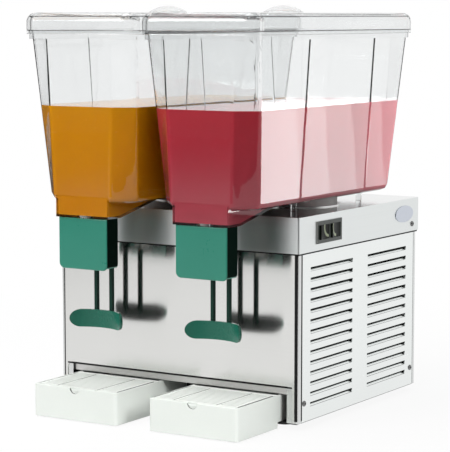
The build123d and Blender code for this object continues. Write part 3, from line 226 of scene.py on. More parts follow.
# moulded plastic and rubber
plasticPlan = {
    "clouds": (14, 14, 14),
    "skinShare": 0.35,  # how much of the tone is the fine skin, the rest is clouds
    "tones": (0.25, 0.75),
    "smoother": 0.05,
    "rougher": 0.06,
    "gloss": 0.5,
    "coat": 0.0,
    "coatRough": 0.12,
    "bump": 0.06,
    "bumpDeep": 0.0003,
}
plasticGrades = {
    "tapGreen": {
        "low": (0.01, 0.19, 0.128), "high": (0.017, 0.238, 0.166),
        "rough": 0.3, "coat": 0.2, "grain": 260,
    },
    # painted shade: near-black green for the valve covers' side faces and the levers' backs, which
    # stand in shade
    "tapDark": {
        "low": (0.001, 0.008, 0.005), "high": (0.002, 0.014, 0.009),
        "rough": 0.5, "gloss": 0.02, "grain": 260,
    },
    # painted shade: a darker green for the levers' legs, which stand in shade
    "legGreen": {
        "low": (0.001, 0.024, 0.015), "high": (0.002, 0.042, 0.027),
        "rough": 0.3, "gloss": 0.2, "grain": 260,
    },
    "paddleGreen": {
        "low": (0.003, 0.105, 0.066), "high": (0.006, 0.155, 0.1),
        "rough": 0.26, "gloss": 0.4, "grain": 260,
    },
    # painted shade, partly: near black for the shadow lines under the skirt and over the tray
    # slot, and for the front corner joints
    "sealBlack": {
        "low": (0.003, 0.003, 0.003), "high": (0.01, 0.01, 0.01),
        "rough": 0.6, "gloss": 0.2, "grain": 500,
    },
    "trayWhite": {
        "low": (0.63, 0.665, 0.63), "high": (0.71, 0.74, 0.705),
        "rough": 0.36, "coat": 0.1, "grain": 320,
    },
    "valveWhite": {
        "low": (0.72, 0.74, 0.72), "high": (0.8, 0.82, 0.8),
        "rough": 0.3, "coat": 0.1, "grain": 320,
    },
    "switchBlack": {
        "low": (0.006, 0.007, 0.006), "high": (0.014, 0.016, 0.014),
        "rough": 0.36, "gloss": 0.3, "grain": 700,
    },
    "bezelGrey": {
        "low": (0.05, 0.062, 0.054), "high": (0.085, 0.1, 0.088),
        "rough": 0.28, "gloss": 0.5, "grain": 700,
    },
    # painted shade: grey for the grid seams and the trays' finger notches
    "seamGrey": {
        "low": (0.1, 0.105, 0.1), "high": (0.16, 0.165, 0.155),
        "rough": 0.6, "gloss": 0.2, "grain": 500,
    },
    "switchGrey": {
        "low": (0.3, 0.31, 0.29), "high": (0.38, 0.39, 0.37),
        "rough": 0.4, "grain": 700,
    },
    "fanBlack": {
        "low": (0.02, 0.02, 0.022), "high": (0.04, 0.04, 0.042),
        "rough": 0.42, "grain": 300,
    },
    "footRubber": {
        "low": (0.012, 0.012, 0.012), "high": (0.03, 0.03, 0.03),
        "rough": 0.7, "grain": 420,
    },
    "gasketWhite": {
        "low": (0.74, 0.74, 0.73), "high": (0.82, 0.82, 0.81),
        "rough": 0.55, "grain": 420,
    },
    "compressorBlack": {
        "low": (0.006, 0.006, 0.007), "high": (0.014, 0.014, 0.015),
        "rough": 0.28, "coat": 0.4, "grain": 160,
    },
    "motorGrey": {
        "low": (0.16, 0.165, 0.17), "high": (0.22, 0.225, 0.23),
        "rough": 0.45, "coat": 0.1, "grain": 220,
    },
    "magnetGrey": {
        "low": (0.06, 0.06, 0.065), "high": (0.1, 0.1, 0.105),
        "rough": 0.6, "grain": 500,
    },
}


def mouldedPlastic(name):
    grade = {**plasticPlan, **plasticGrades[name]}
    look = Look(name)
    skin = grain(look, (grade["grain"],) * 3, detail=4.0, roughness=0.6)
    clouds = grain(look, grade["clouds"])
    tone = skin * grade["skinShare"] + clouds * (1 - grade["skinShare"])
    rough = (grade["rough"] - grade["smoother"], grade["rough"] + grade["rougher"])
    return look.finish({
        "Base Color": blend(look, tone, colour(*grade["low"]), colour(*grade["high"])),
        "Roughness": spread(look, tone, *grade["tones"], *rough),
        "Specular IOR Level": grade["gloss"],
        "Coat Weight": grade["coat"],
        "Coat Roughness": grade["coatRough"],
        "Normal": bumped(look, skin, grade["bump"], grade["bumpDeep"]),
    })


# plain metal, inside the cabinet
metalPlan = {
    "tones": (0.3, 0.7),
    "roughSway": 0.08,
    "bump": 0.05,
    "bumpDeep": 0.0004,
}
metalGrades = {
    # painted shade: near black for the tray bay and the base pan, for the dim inside of the
    # cabinet
    "bayDark": {
        "low": (0.012, 0.012, 0.012), "high": (0.03, 0.03, 0.03),
        "metal": 0.3, "rough": 0.6, "grain": 60,
    },
    "linerGrey": {
        "low": (0.2, 0.205, 0.205), "high": (0.3, 0.305, 0.3),
        "metal": 0.8, "rough": 0.5, "grain": 60,
    },
    "finMetal": {
        "low": (0.5, 0.51, 0.52), "high": (0.66, 0.67, 0.68),
        "metal": 1.0, "rough": 0.4, "grain": 90,
    },
    "copperTube": {
        "low": (0.5, 0.22, 0.12), "high": (0.68, 0.34, 0.2),
        "metal": 1.0, "rough": 0.32, "grain": 70,
    },
}


def plainMetal(name):
    grade = {**metalPlan, **metalGrades[name]}
    look = Look(name)
    spangle = grain(look, (grade["grain"],) * 3, detail=3.0, roughness=0.6)
    rough = (grade["rough"] - grade["roughSway"], grade["rough"] + grade["roughSway"])
    return look.finish({
        "Base Color": blend(look, spangle, colour(*grade["low"]), colour(*grade["high"])),
        "Metallic": grade["metal"],
        "Roughness": spread(look, spangle, *grade["tones"], *rough),
        "Normal": bumped(look, spangle, grade["bump"], grade["bumpDeep"]),
    })


# clear plastic of the bowls and lids
clearPlan = {
    "index": 1.45,
    "waves": (16, 16, 7),
    "waveBump": 0.12,
    "haze": (60, 60, 60),
    "hazeTones": (0.35, 0.75),
    "hazeRough": 0.03,
}
clearGrades = {
    "beadClear": {
        "tint": (0.9, 0.91, 0.91), "rough": 0.03, "waveDeep": 0.0003,
        "deep": (0.2, 0.21, 0.22), "dense": 5500,
    },
    "bowlClear": {
        "tint": (0.99, 0.995, 0.995), "rough": 0.012, "waveDeep": 0.001,
        "deep": (0.42, 0.45, 0.46), "dense": 30,
        "edge": (0.14, 0.147, 0.154), "slant": (0.62, 0.91),  # painted shade: darker where seen along the sheet
    },
    "lidClear": {
        "tint": (0.98, 0.985, 0.985), "rough": 0.02, "waveDeep": 0.0008,
        "deep": (0.4, 0.43, 0.44), "dense": 18,
    },
}


def clearPlastic(name):
    grade = {**clearPlan, **clearGrades[name]}
    look = Look(name)
    waves = grain(look, grade["waves"], detail=1.0)
    haze = grain(look, grade["haze"], detail=3.0)
    tint = colour(*grade["tint"])
    # painted shade: the tint darkens where the sheet is seen edge-on
    if "edge" in grade:
        facing = look.node("ShaderNodeLayerWeight", values={"Blend": 0.5}, out="Facing")
        edge = spread(look, facing, *grade["slant"], 0.0, 1.0)
        tint = blend(look, edge, tint, colour(*grade["edge"]))
    rough = (grade["rough"], grade["rough"] + grade["hazeRough"])
    deep = {"Color": colour(*grade["deep"]), "Density": grade["dense"]}
    values = {
        "Base Color": tint,
        "Transmission Weight": 1.0,
        "IOR": grade["index"],
        "Roughness": spread(look, haze, *grade["hazeTones"], *rough),
        "Normal": bumped(look, waves, grade["waveBump"], grade["waveDeep"]),
    }
    return look.finish(values, volume=look.node("ShaderNodeVolumeAbsorption", values=deep))


# the two switches
rockerPlan = {
    "blackLow": (0.004, 0.006, 0.004),
    "blackHigh": (0.0096, 0.0144, 0.0096),
    # painted highlight: the pale colour of the two arcs on the black rockers
    "lens": (0.6, 0.67, 0.46),
    "grain": (500, 500, 500),
    "tones": (0.25, 0.75),
    "rough": (0.26, 0.38),
    "gloss": 0.12,
    "bump": 0.05,
    "bumpDeep": 0.0003,
    "crescents": [(-0.0455, 0.2665), (-0.0255, 0.2655)],  # centres of the two painted highlight arcs, as (y, z)
    "radius": 0.0122,
    "wide": (0.00115, 0.0023),  # each arc fades out between these
    "rise": (0.0042, 0.00546),  # and above its centre between these
    "front": 0.001,
}


def crescent(look, centreY, centreZ):
    ahead = centreY - along(look, "Y")
    rise = along(look, "Z") - centreZ
    far = (ahead ** 2 + rise ** 2) ** 0.5
    off = look.node("ShaderNodeMath", {"operation": "ABSOLUTE"}, {0: far - rockerPlan["radius"]})
    arc = spread(look, off, *rockerPlan["wide"], 1.0, 0.0)
    front = spread(look, ahead, 0.0, rockerPlan["front"], 0.0, 1.0)
    return arc * front * spread(look, rise, *rockerPlan["rise"], 1.0, 0.0)


def rockerLook():
    plan = rockerPlan
    look = Look("rockerBlack")
    skin = grain(look, plan["grain"], detail=4.0, roughness=0.6)
    first, second = [crescent(look, *centre) for centre in plan["crescents"]]
    ground = blend(look, skin, colour(*plan["blackLow"]), colour(*plan["blackHigh"]))
    return look.finish({
        # painted highlights: two pale arcs over the black
        "Base Color": blend(look, first | second, ground, colour(*plan["lens"])),
        "Roughness": spread(look, skin, *plan["tones"], *plan["rough"]),
        "Specular IOR Level": plan["gloss"],
        "Normal": bumped(look, skin, plan["bump"], plan["bumpDeep"]),
    })


finishes = {name: brushedSteel(name) for name in steelGrades}
finishes.update({name: mouldedPlastic(name) for name in plasticGrades})
finishes.update({name: plainMetal(name) for name in metalGrades})
finishes.update({name: clearPlastic(name) for name in clearGrades})
finishes["rockerBlack"] = rockerLook()
print("finishes made:", len(finishes))


# CAD nodes that keep their own mesh
nodeFinishes = {
    "linerGrey": ["fan_shroud"],
    # painted shade: the base pan is finished near black
    "bayDark": ["base_pan"],
    "footRubber": ["rubber_feet", "compressor_mounts"],
    "postSteel": ["corner_posts"],
    "sideSteel": ["back_panel"],
    "switchBlack": ["wiring_box", "thermostat", "cord_gland"],
    "compressorBlack": ["compressor"],
    "finMetal": ["condenser"],
    "motorGrey": ["fan_motor", "left_mixer_motor", "right_mixer_motor"],
    "fanBlack": ["fan"],
    "copperTube": [
        "discharge_line", "liquid_line", "capillary_line", "suction_line", "filter_drier",
    ],
    "domeSteel": ["left_evaporator", "right_evaporator"],
    "gasketWhite": [
        "left_bowl_gasket", "right_bowl_gasket", "left_plunger_seal", "right_plunger_seal",
    ],
    "magnetGrey": ["left_drive_magnet", "right_drive_magnet"],
    "valveWhite": [
        "left_impeller", "right_impeller", "left_valve_sleeve", "right_valve_sleeve",
        "left_plunger", "right_plunger",
    ],
    "wireSteel": ["left_lever_pins", "right_lever_pins"],
}
for finish, names in nodeFinishes.items():
    for name in names:
        for slot in nodes[name].material_slots:
            slot.material = finishes[finish]
print("nodes dressed:", sum(len(names) for names in nodeFinishes.values()))


# mesh helpers
meshPlan = {
    "merge": 2e-6,
    "flat": 0.6,  # degrees, up to which two faces are one
    "sharp": 35,  # degrees, from which an edge shows
    "roundFrom": 40,  # degrees, from which it is rounded
    "roundSteps": 2,
    "flatWeight": 100,
}


def makePiece(name, bm, body, finish, stands=None, sharp=meshPlan["sharp"]):
    mesh = bpy.data.meshes.new(name)
    bm.to_mesh(mesh)
    bm.free()
    mesh.polygons.foreach_set("use_smooth", [True] * len(mesh.polygons))
    mesh.set_sharp_from_angle(angle=math.radians(sharp))
    mesh.materials.append(finish)
    piece = bpy.data.objects.new(name, mesh)
    scene.collection.objects.link(piece)
    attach(piece, body)
    if stands:
        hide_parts(stands)
    return piece


def mergedCopy(node):
    bm = bmesh.new()
    bm.from_mesh(nodes[node].data)
    bmesh.ops.remove_doubles(bm, verts=bm.verts, dist=meshPlan["merge"])
    flat = math.radians(meshPlan["flat"])
    bmesh.ops.dissolve_limit(bm, angle_limit=flat, verts=bm.verts, edges=bm.edges)
    return bm


def softenEdges(piece, width):
    bevel = piece.modifiers.new("edgeRound", "BEVEL")
    bevel.width = width
    bevel.segments = meshPlan["roundSteps"]
    bevel.profile = 0.5
    bevel.limit_method = "ANGLE"
    bevel.angle_limit = math.radians(meshPlan["roundFrom"])
    bevel.use_clamp_overlap = True
    flats = piece.modifiers.new("flatWalls", "WEIGHTED_NORMAL")
    flats.weight = meshPlan["flatWeight"]
    flats.keep_sharp = True


def dressFaces(piece, finish, picks):
    piece.data.materials.append(finish)
    for face in piece.data.polygons:
        if picks(face):
            face.material_index = len(piece.data.materials) - 1


def roundOff(bm, geom, offset, segments, affect="EDGES"):
    bmesh.ops.bevel(
        bm, geom=geom, offset=offset, affect=affect, segments=segments, profile=0.5, material=-1
    )


def hollowRing(bm, face, wide, tall):  # a flat ring inside the face's outline
    bm.normal_update()
    bmesh.ops.inset_region(
        bm, faces=[face], thickness=wide, use_boundary=True, use_even_offset=True
    )
    bmesh.ops.delete(bm, geom=[face], context="FACES")
    bm.normal_update()
    bmesh.ops.solidify(bm, geom=bm.faces, thickness=tall)
    bmesh.ops.recalc_face_normals(bm, faces=bm.faces)


def grownVerts(grown):
    return [item for item in grown["geom"] if isinstance(item, bmesh.types.BMVert)]


# faces of a piece that get a second finish
accentPlan = {
    "square": 0.9,  # how squarely a face looks along an axis
    "railY": -0.117,  # the tray bay's rail is in front of this
    "cheekTurn": -0.7,
    "cheekY": -0.07,
    "legsZ": 0.15,  # a lever's legs are above this, its paddle below; the legs get painted shade
    "leverBack": 0.5,
    "notchDeep": 0.006,
    "notchTurn": 0.05,
    "notchDrop": 0.001,
}
trayLow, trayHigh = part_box("left_drip_tray")


def facesUp(face):
    return face.normal.z > accentPlan["square"]


def facesAside(face):
    return abs(face.normal.x) > accentPlan["square"]


def onRail(face):
    return face.center.y < accentPlan["railY"]


def onCheek(face):  # the bezel's pale front cheek
    return face.normal.y < accentPlan["cheekTurn"] and face.center.y < accentPlan["cheekY"]


def onLegs(face):
    return face.center.z > accentPlan["legsZ"]


def onLeverBack(face):  # painted shade on the lever's back, which the front panel mirrors
    return face.normal.y > accentPlan["leverBack"]


def inNotch(face):  # the finger notch in a tray's front wall, which gets painted shade
    inFront = face.center.y < trayLow.y + accentPlan["notchDeep"]
    belowRim = face.center.z < trayHigh.z - accentPlan["notchDrop"]
    return inFront and belowRim and face.normal.z > accentPlan["notchTurn"]


# pieces that stand for a node, with rounded edges
edgedPieces = {
    "deckPan": {
        "node": "deck", "body": "cabinet",
        "finish": "deckSteel", "slot": "stainless", "edge": 0.0006,
        "accents": [("deckTop", facesUp)],
    },
    "frontPanel": {
        "node": "front_panel", "body": "cabinet",
        "finish": "frontSteel", "slot": "stainless", "edge": 0.0004,
    },
    "ovalPlate": {
        "node": "oval_plate", "body": "cabinet",
        "finish": "plateSteel", "slot": "plate_metal", "edge": 0.0005,
    },
    "trayBay": {
        "node": "tray_bay", "body": "cabinet",
        # painted shade: the stainless tray bay is finished near black, all but its rail
        "finish": "bayDark", "slot": "stainless", "edge": 0.0003,
        "accents": [("railSteel", onRail)],
    },
    "switchBezel": {
        "node": "switch_bezel", "body": "cabinet",
        "finish": "bezelGrey", "slot": "switch_black", "edge": 0.0004,
        "accents": [("switchGrey", onCheek)],
    },
}
for name in ("cooling", "mixer"):
    edgedPieces[name + "Rocker"] = {
        "node": name + "_rocker", "body": name + "_switch",
        "finish": "rockerBlack", "slot": "rocker_black", "edge": 0.0004,
    }
for side in sides:
    edgedPieces[side + "LouvrePanel"] = {
        "node": side + "_side_panel", "body": "cabinet",
        "finish": "sideSteel", "slot": "stainless", "edge": 0.0004,
    }
    edgedPieces[side + "Bowl"] = {
        "node": side + "_bowl", "body": side + "_tank",
        "finish": "bowlClear", "slot": "bowl_clear", "edge": 0.0007,
        "sharp": 20,  # keeps the grooves in the side walls crisp
    }
    edgedPieces[side + "Lid"] = {
        "node": side + "_lid", "body": side + "_cap",
        "finish": "lidClear", "slot": "lid_clear", "edge": 0.0006,
    }
    edgedPieces[side + "ValveCover"] = {
        "node": side + "_valve_cover", "body": side + "_tank",
        "finish": "tapGreen", "slot": "tap_green", "edge": 0.0007,
        # painted shade: the cover's side faces get the near-black green
        "accents": [("tapDark", facesAside)],
    }
    edgedPieces[side + "Lever"] = {
        "node": side + "_lever", "body": side + "_tap_lever",
        "finish": "paddleGreen", "slot": "tap_green", "edge": 0.0012,
        # painted shade on the lever: its legs darker than its paddle, its back near black
        "accents": [("legGreen", onLegs), ("tapDark", onLeverBack)],
    }
    edgedPieces[side + "DripTray"] = {
        "node": side + "_drip_tray", "body": side + "_tray",
        "finish": "trayWhite", "slot": "tray_white", "edge": 0.0009,
        # painted shade: the finger notch is grey
        "accents": [("seamGrey", inNotch)],
    }
    edgedPieces[side + "DripGrid"] = {
        "node": side + "_drip_grid", "body": side + "_grid",
        "finish": "trayWhite", "slot": "tray_white", "edge": 0.0004,
    }
for name, plan in edgedPieces.items():
    finish = finishes[plan["finish"]]
    mesh = mergedCopy(plan["node"])
    sharp = plan.get("sharp", meshPlan["sharp"])
    piece = makePiece(name, mesh, plan["body"], finish, plan["node"], sharp)
    softenEdges(piece, plan["edge"])
    for accent, picks in plan.get("accents", []):
        dressFaces(piece, finishes[accent], picks)
print("edged pieces made:", len(edgedPieces))


# tap springs, each with a mesh of its own; the real ones shorten as the plunger rises, which
# nothing here does
springPlan = {"travel": 0.004, "finish": "wireSteel", "slot": "spring_steel"}


def makeSpring(side):
    node = side + "_plunger_spring"
    finish = finishes[springPlan["finish"]]
    mesh = mergedCopy(node)
    piece = makePiece(side + "Spring", mesh, side + "_tank", finish, node)
    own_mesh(piece)


for side in sides:
    makeSpring(side)
print("springs made")


# juice: fills each bowl to its level, with a pocket over the dome and one over the valve
juiceGrades = {
    "orangeJuice": {
        "top": (0.79, 0.33, 0.002), "middle": (0.77, 0.31, 0.002),
        "low": (0.74, 0.28, 0.003), "paintedBacklight": (0.9, 0.44, 0.01),
    },
    "redJuice": {
        "top": (0.62, 0.043, 0.066), "middle": (0.57, 0.05, 0.078),
        "low": (0.56, 0.075, 0.108), "paintedBacklight": (0.95, 0.19, 0.25),
    },
}
juicePlan = {
    "level": 0.4265,
    "gap": -0.0004,  # the juice wets the wall, so it reaches a little way into the clear plastic
    "wall": 0.003,
    "floorZ": 0.3005,
    "bowlZ": 0.297,
    "rimZ": 0.5165,
    "halfTop": 0.087,
    "sideDraft": 0.015,
    "frontTop": -0.214,
    "frontDraft": 0.006,
    "rearTop": 0.222,
    "rearDraft": 0.0125,
    "facetTop": (0.034, 0.013),
    "facetLow": (0.026, 0.03),
    "cornerRound": 0.003,
    "floorRound": 0.0055,
    "roundSteps": 4,
    "near": 0.0005,  # how close two heights count as one
    "domeY": 0.041,
    "domePocket": 0.0545,
    "domePocketTop": 0.4135,
    "noseHalf": 0.04,
    "noseProfile": [
        (-0.2054, 0.2791), (-0.178, 0.2791), (-0.124, 0.29),
        (-0.074, 0.3001), (-0.074, 0.308), (-0.2054, 0.308),
    ],
    "noseZ": 0.2791,
    "valveY": -0.1915,
    "valvePocket": 0.0135,
    "valvePocketTop": 0.2945,
    "pocketSteps": 64,
    "wallLook": {"rough": (0.16, 0.28), "gloss": 0.2},
    "topLook": {"rough": (0.04, 0.08), "gloss": 0.5},
    "clouds": (10, 10, 14),
    "cloudSway": 0.16,  # how far the clouds shift the colours up or down
    "stops": (0.0, 0.45, 0.97),
    "paintedBacklight": (0.06, 0.2),  # painted light: paler towards the back, between these, for light from behind
    "pulp": (160, 160, 160),
    "pulpTones": (0.3, 0.7),
    "index": 1.35,
}


def juiceLook(name, rough, gloss):
    plan = juicePlan
    grade = juiceGrades[name]
    look = Look(name)
    clouds = grain(look, plan["clouds"], detail=3.0)
    pulp = grain(look, plan["pulp"])
    rise = spread(look, along(look, "Z"), plan["noseZ"], plan["level"], 0.0, 1.0)
    place = rise + clouds * plan["cloudSway"] - plan["cloudSway"] / 2
    stops = list(zip(plan["stops"], (grade["low"], grade["middle"], grade["top"])))
    tint = look.node("ShaderNodeValToRGB", {"stops": stops}, {0: place})
    # painted light: the colour pales towards the back
    back = spread(look, along(look, "Y"), *plan["paintedBacklight"], 0.0, 1.0)
    return look.finish({
        "Base Color": blend(look, back, tint, colour(*grade["paintedBacklight"])),
        "Roughness": spread(look, pulp, *plan["pulpTones"], *rough),
        "IOR": plan["index"],
        "Specular IOR Level": gloss,
    })


def juiceOutline(z):
    plan = juicePlan
    low = (plan["rimZ"] - z) / (plan["rimZ"] - plan["bowlZ"])
    half = plan["halfTop"] - plan["sideDraft"] * low
    front = plan["frontTop"] + plan["frontDraft"] * low
    rear = plan["rearTop"] - plan["rearDraft"] * low
    cutX, cutY = [a + (b - a) * low for a, b in zip(plan["facetTop"], plan["facetLow"])]
    inset = plan["wall"] + plan["gap"]
    slant = math.hypot(cutX, cutY)
    stepX = half - cutX + inset * (cutX - slant) / cutY
    stepY = cutY + inset * (slant - cutY) / cutX
    half -= inset
    return [
        (-stepX, front + inset), (stepX, front + inset),
        (half, front + stepY), (half, rear - stepY),
        (stepX, rear - inset), (-stepX, rear - inset),
        (-half, rear - stepY), (-half, front + stepY),
    ]


def pocketIn(bm, face, centre, radius, topZ):
    rim = list(face.edges)
    bottomZ = face.calc_center_median().z
    bmesh.ops.delete(bm, geom=[face], context="FACES_ONLY")
    place = Matrix.Translation((*centre, bottomZ))
    steps = juicePlan["pocketSteps"]
    ring = bmesh.ops.create_circle(
        bm, cap_ends=False, segments=steps, radius=radius, matrix=place
    )
    ringEdges = list({edge for vert in ring["verts"] for edge in vert.link_edges})
    bmesh.ops.bridge_loops(bm, edges=rim + ringEdges)
    raised = bmesh.ops.extrude_edge_only(bm, edges=ringEdges)
    bmesh.ops.translate(bm, verts=grownVerts(raised), vec=(0, 0, topZ - bottomZ))
    topEdges = [item for item in raised["geom"] if isinstance(item, bmesh.types.BMEdge)]
    bmesh.ops.contextual_create(bm, geom=[edge for edge in topEdges if edge.is_boundary])


def fillTub(bm):
    plan = juicePlan
    lowZ = plan["floorZ"] + plan["gap"]
    floorSpots = juiceOutline(lowZ)
    floorFace = bm.faces.new([bm.verts.new((x, y, lowZ)) for x, y in floorSpots])
    grown = bmesh.ops.extrude_face_region(bm, geom=[floorFace])
    targets = dict(zip(floorSpots, juiceOutline(plan["level"])))
    for vert in grownVerts(grown):
        nearest = min(targets, key=lambda spot: (vert.co.xy - Vector(spot)).length)
        vert.co = (*targets[nearest], plan["level"])
    upright = [
        edge for edge in bm.edges
        if abs(edge.verts[0].co.z - edge.verts[1].co.z) > plan["near"]
    ]
    roundOff(bm, upright, plan["cornerRound"], plan["roundSteps"])
    foot = lowZ + plan["near"]
    lowEdges = [edge for edge in bm.edges if max(vert.co.z for vert in edge.verts) < foot]
    roundOff(bm, lowEdges, plan["floorRound"], plan["roundSteps"])
    under = [face for face in bm.faces if face.calc_center_median().z < foot]
    largest = max(under, key=lambda face: face.calc_area())
    pocketIn(bm, largest, (0, plan["domeY"]), plan["domePocket"], plan["domePocketTop"])


def fillNose(bm):
    plan = juicePlan
    half = plan["noseHalf"] - plan["gap"]
    cheek = bm.faces.new([bm.verts.new((-half, y, z)) for y, z in plan["noseProfile"]])
    grown = bmesh.ops.extrude_face_region(bm, geom=[cheek])
    bmesh.ops.translate(bm, verts=grownVerts(grown), vec=(2 * half, 0, 0))
    sill = min(bm.faces, key=lambda face: abs(face.calc_center_median().z - plan["noseZ"]))
    pocketIn(bm, sill, (0, plan["valveY"]), plan["valvePocket"], plan["valvePocketTop"])


def makeJuice(side, finish):
    middle = sum(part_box(side + "_bowl"), Vector()) / 2
    bm = bmesh.new()
    fillTub(bm)
    fillNose(bm)
    bmesh.ops.recalc_face_normals(bm, faces=bm.faces)
    bmesh.ops.translate(bm, verts=bm.verts, vec=(middle.x, 0, 0))
    return makePiece(side + "Juice", bm, side + "_tank", finish)


def onSurface(face):
    return facesUp(face) and face.center.z > juicePlan["level"] - juicePlan["near"]


for side, name in zip(sides, juiceGrades):
    walls = juiceLook(name, **juicePlan["wallLook"])
    surface = juiceLook(name, **juicePlan["topLook"])
    juice = makeJuice(side, walls)
    dressFaces(juice, surface, onSurface)
print("juice poured")


# a fine moulded line round each lid's shoulder
beadPlan = {
    "inset": 0.0031,
    "drop": 0.0048,  # below the lid's flat top
    "domeRise": 0.0095,
    "corner": 0.0169,
    "cornerSteps": 10,
    "wide": 0.0014,
    "tall": 0.0011,
    "proud": 0.0004,
    "sharp": 1.0,  # radians, from which an edge is rounded
    "round": 0.0003,
    "roundSteps": 2,
}


def makeLidBead(side):
    plan = beadPlan
    low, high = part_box(side + "_lid")
    reach = plan["inset"] - plan["proud"]
    z = high.z - plan["domeRise"] - plan["drop"]
    left, right = low.x + reach, high.x - reach
    front, back = low.y + reach, high.y - reach
    bm = bmesh.new()
    for x, y in ((left, front), (right, front), (right, back), (left, back)):
        bm.verts.new((x, y, z))
    bm.faces.new(list(bm.verts))
    roundOff(bm, list(bm.verts), plan["corner"], plan["cornerSteps"], "VERTICES")
    top = max(bm.faces, key=lambda face: face.calc_area())
    hollowRing(bm, top, plan["wide"], plan["tall"])
    rims = [edge for edge in bm.edges if edge.calc_face_angle(0) > plan["sharp"]]
    roundOff(bm, rims, plan["round"], plan["roundSteps"])
    makePiece(side + "LidLine", bm, side + "_cap", finishes["beadClear"])


for side in sides:
    makeLidBead(side)
print("lid lines made")


# screws: domed heads with a round socket, in place of the plain ones
screwPlan = {
    "head": [
        (0.0, 0.0007), (0.0013, 0.0007), (0.0016, 0.0019), (0.0026, 0.00175),
        (0.0036, 0.0011), (0.004, 0.0004), (0.004, 0.0),
    ],
    "shank": 0.0019,
    "length": 0.007,
    "steps": 24,
    "sideX": 0.1935,
    "skirtX": 0.195,
    "backX": 0.1815,
    "frontY": -0.1065,
    "rearY": 0.206,
    "backY": 0.222,
    "panelZ": 0.035,
    "skirtZ": 0.247,
}


def addScrew(bm, place, turn):
    plan = screwPlan
    shank = plan["shank"]
    deep = -plan["length"]
    path = plan["head"] + [(shank, 0.0), (shank, deep), (0.0, deep)]
    before = set(bm.verts)
    points = [bm.verts.new((radius, 0, rise)) for radius, rise in path]
    edges = [bm.edges.new(pair) for pair in zip(points, points[1:])]
    bmesh.ops.spin(
        bm, geom=points + edges, axis=(0, 0, 1), angle=math.tau, steps=plan["steps"],
        use_merge=True,
    )
    fresh = [vert for vert in bm.verts if vert not in before]
    bmesh.ops.transform(bm, matrix=Matrix.Translation(place) @ turn, verts=fresh)


def makeScrews():
    plan = screwPlan
    bm = bmesh.new()
    backward = Matrix.Rotation(-math.pi / 2, 4, "X")
    for sign in (-1, 1):
        outward = Matrix.Rotation(sign * math.pi / 2, 4, "Y")
        addScrew(bm, (sign * plan["sideX"], plan["frontY"], plan["panelZ"]), outward)
        addScrew(bm, (sign * plan["sideX"], plan["rearY"], plan["panelZ"]), outward)
        addScrew(bm, (sign * plan["skirtX"], plan["rearY"], plan["skirtZ"]), outward)
        addScrew(bm, (sign * plan["backX"], plan["backY"], plan["panelZ"]), backward)
    bmesh.ops.remove_doubles(bm, verts=bm.verts, dist=meshPlan["merge"])
    bmesh.ops.recalc_face_normals(bm, faces=bm.faces)
    return bm


screwFinish = finishes["screwSteel"]
makePiece("panelScrews", makeScrews(), "cabinet", screwFinish, "panel_screws")
print("screws made")


# dark strips: painted shade under the deck's skirt and along the top of the tray slot, for the
# shadow lines there, and dark joint lines down each front corner
jointAndShadeStripPlan = {
    "deckHalf": 0.1949,
    "deckFront": -0.1239,
    "deckBack": 0.2221,
    "wide": 0.0013,
    "topZ": 0.2365,
    "tall": 0.0019,
    "cornerY": -0.1135,
    "cornerLines": [(-1, 0.1882, 0.0009), (1, 0.1899, 0.0046)],  # side, place and width
    "sideWide": 0.0026,
    "panelHalf": 0.1935,
    "panelFront": -0.1225,
    "lowZ": 0.0125,
    "proud": 0.00025,
    "deep": 0.001,
    "slotHalf": 0.184,
    "slotTop": 0.0585,
    "slotTall": 0.0022,
    "round": 0.00012,
    "roundSteps": 2,
}


def addBar(bm, low, high):
    made = bmesh.ops.create_cube(bm, size=1.0)["verts"]
    low, high = Vector(low), Vector(high)
    bmesh.ops.scale(bm, vec=high - low, verts=made)
    bmesh.ops.translate(bm, vec=(low + high) / 2, verts=made)
    edges = list({edge for vert in made for edge in vert.link_edges})
    roundOff(bm, edges, jointAndShadeStripPlan["round"], jointAndShadeStripPlan["roundSteps"])


def makeSkirtShadowStrip():
    plan = jointAndShadeStripPlan
    half, front, back = plan["deckHalf"], plan["deckFront"], plan["deckBack"]
    bm = bmesh.new()
    corners = [(-half, front), (half, front), (half, back), (-half, back)]
    outline = bm.faces.new([bm.verts.new((x, y, plan["topZ"])) for x, y in corners])
    hollowRing(bm, outline, plan["wide"], plan["tall"])
    drop = max(vert.co.z for vert in bm.verts) - plan["topZ"]
    bmesh.ops.translate(bm, vec=(0, 0, -drop), verts=bm.verts)
    return bm


def makeCornerJointsAndSlotShade():
    plan = jointAndShadeStripPlan
    bm = bmesh.new()
    lowZ = plan["lowZ"]
    highZ = plan["topZ"] - plan["tall"]
    outer = plan["panelFront"] - plan["proud"]
    inner = plan["panelFront"] + plan["deep"]
    for sign, place, wide in plan["cornerLines"]:
        x = sign * place
        addBar(bm, (x - wide / 2, outer, lowZ), (x + wide / 2, inner, highZ))
        x = sign * plan["panelHalf"]
        y = plan["cornerY"]
        half = plan["sideWide"] / 2
        start, end = sorted((x - sign * plan["deep"], x + sign * plan["proud"]))
        addBar(bm, (start, y - half, lowZ), (end, y + half, highZ))
    half = plan["slotHalf"]
    top = plan["slotTop"]
    addBar(bm, (-half, outer, top - plan["slotTall"]), (half, inner, top))
    return bm


for name, mesh in (("skirtSeal", makeSkirtShadowStrip()), ("cornerSeals", makeCornerJointsAndSlotShade())):
    makePiece(name, mesh, "cabinet", finishes["sealBlack"])
print("darkStrips made")


# shade in the seams along each drip grid
seamPlan = {
    "out": 0.033,
    "rim": 0.0007,
    "wide": 0.0014,
    "end": 0.004,
    "deep": 0.001,  # below the grid's top
    "proud": 0.00012,
}


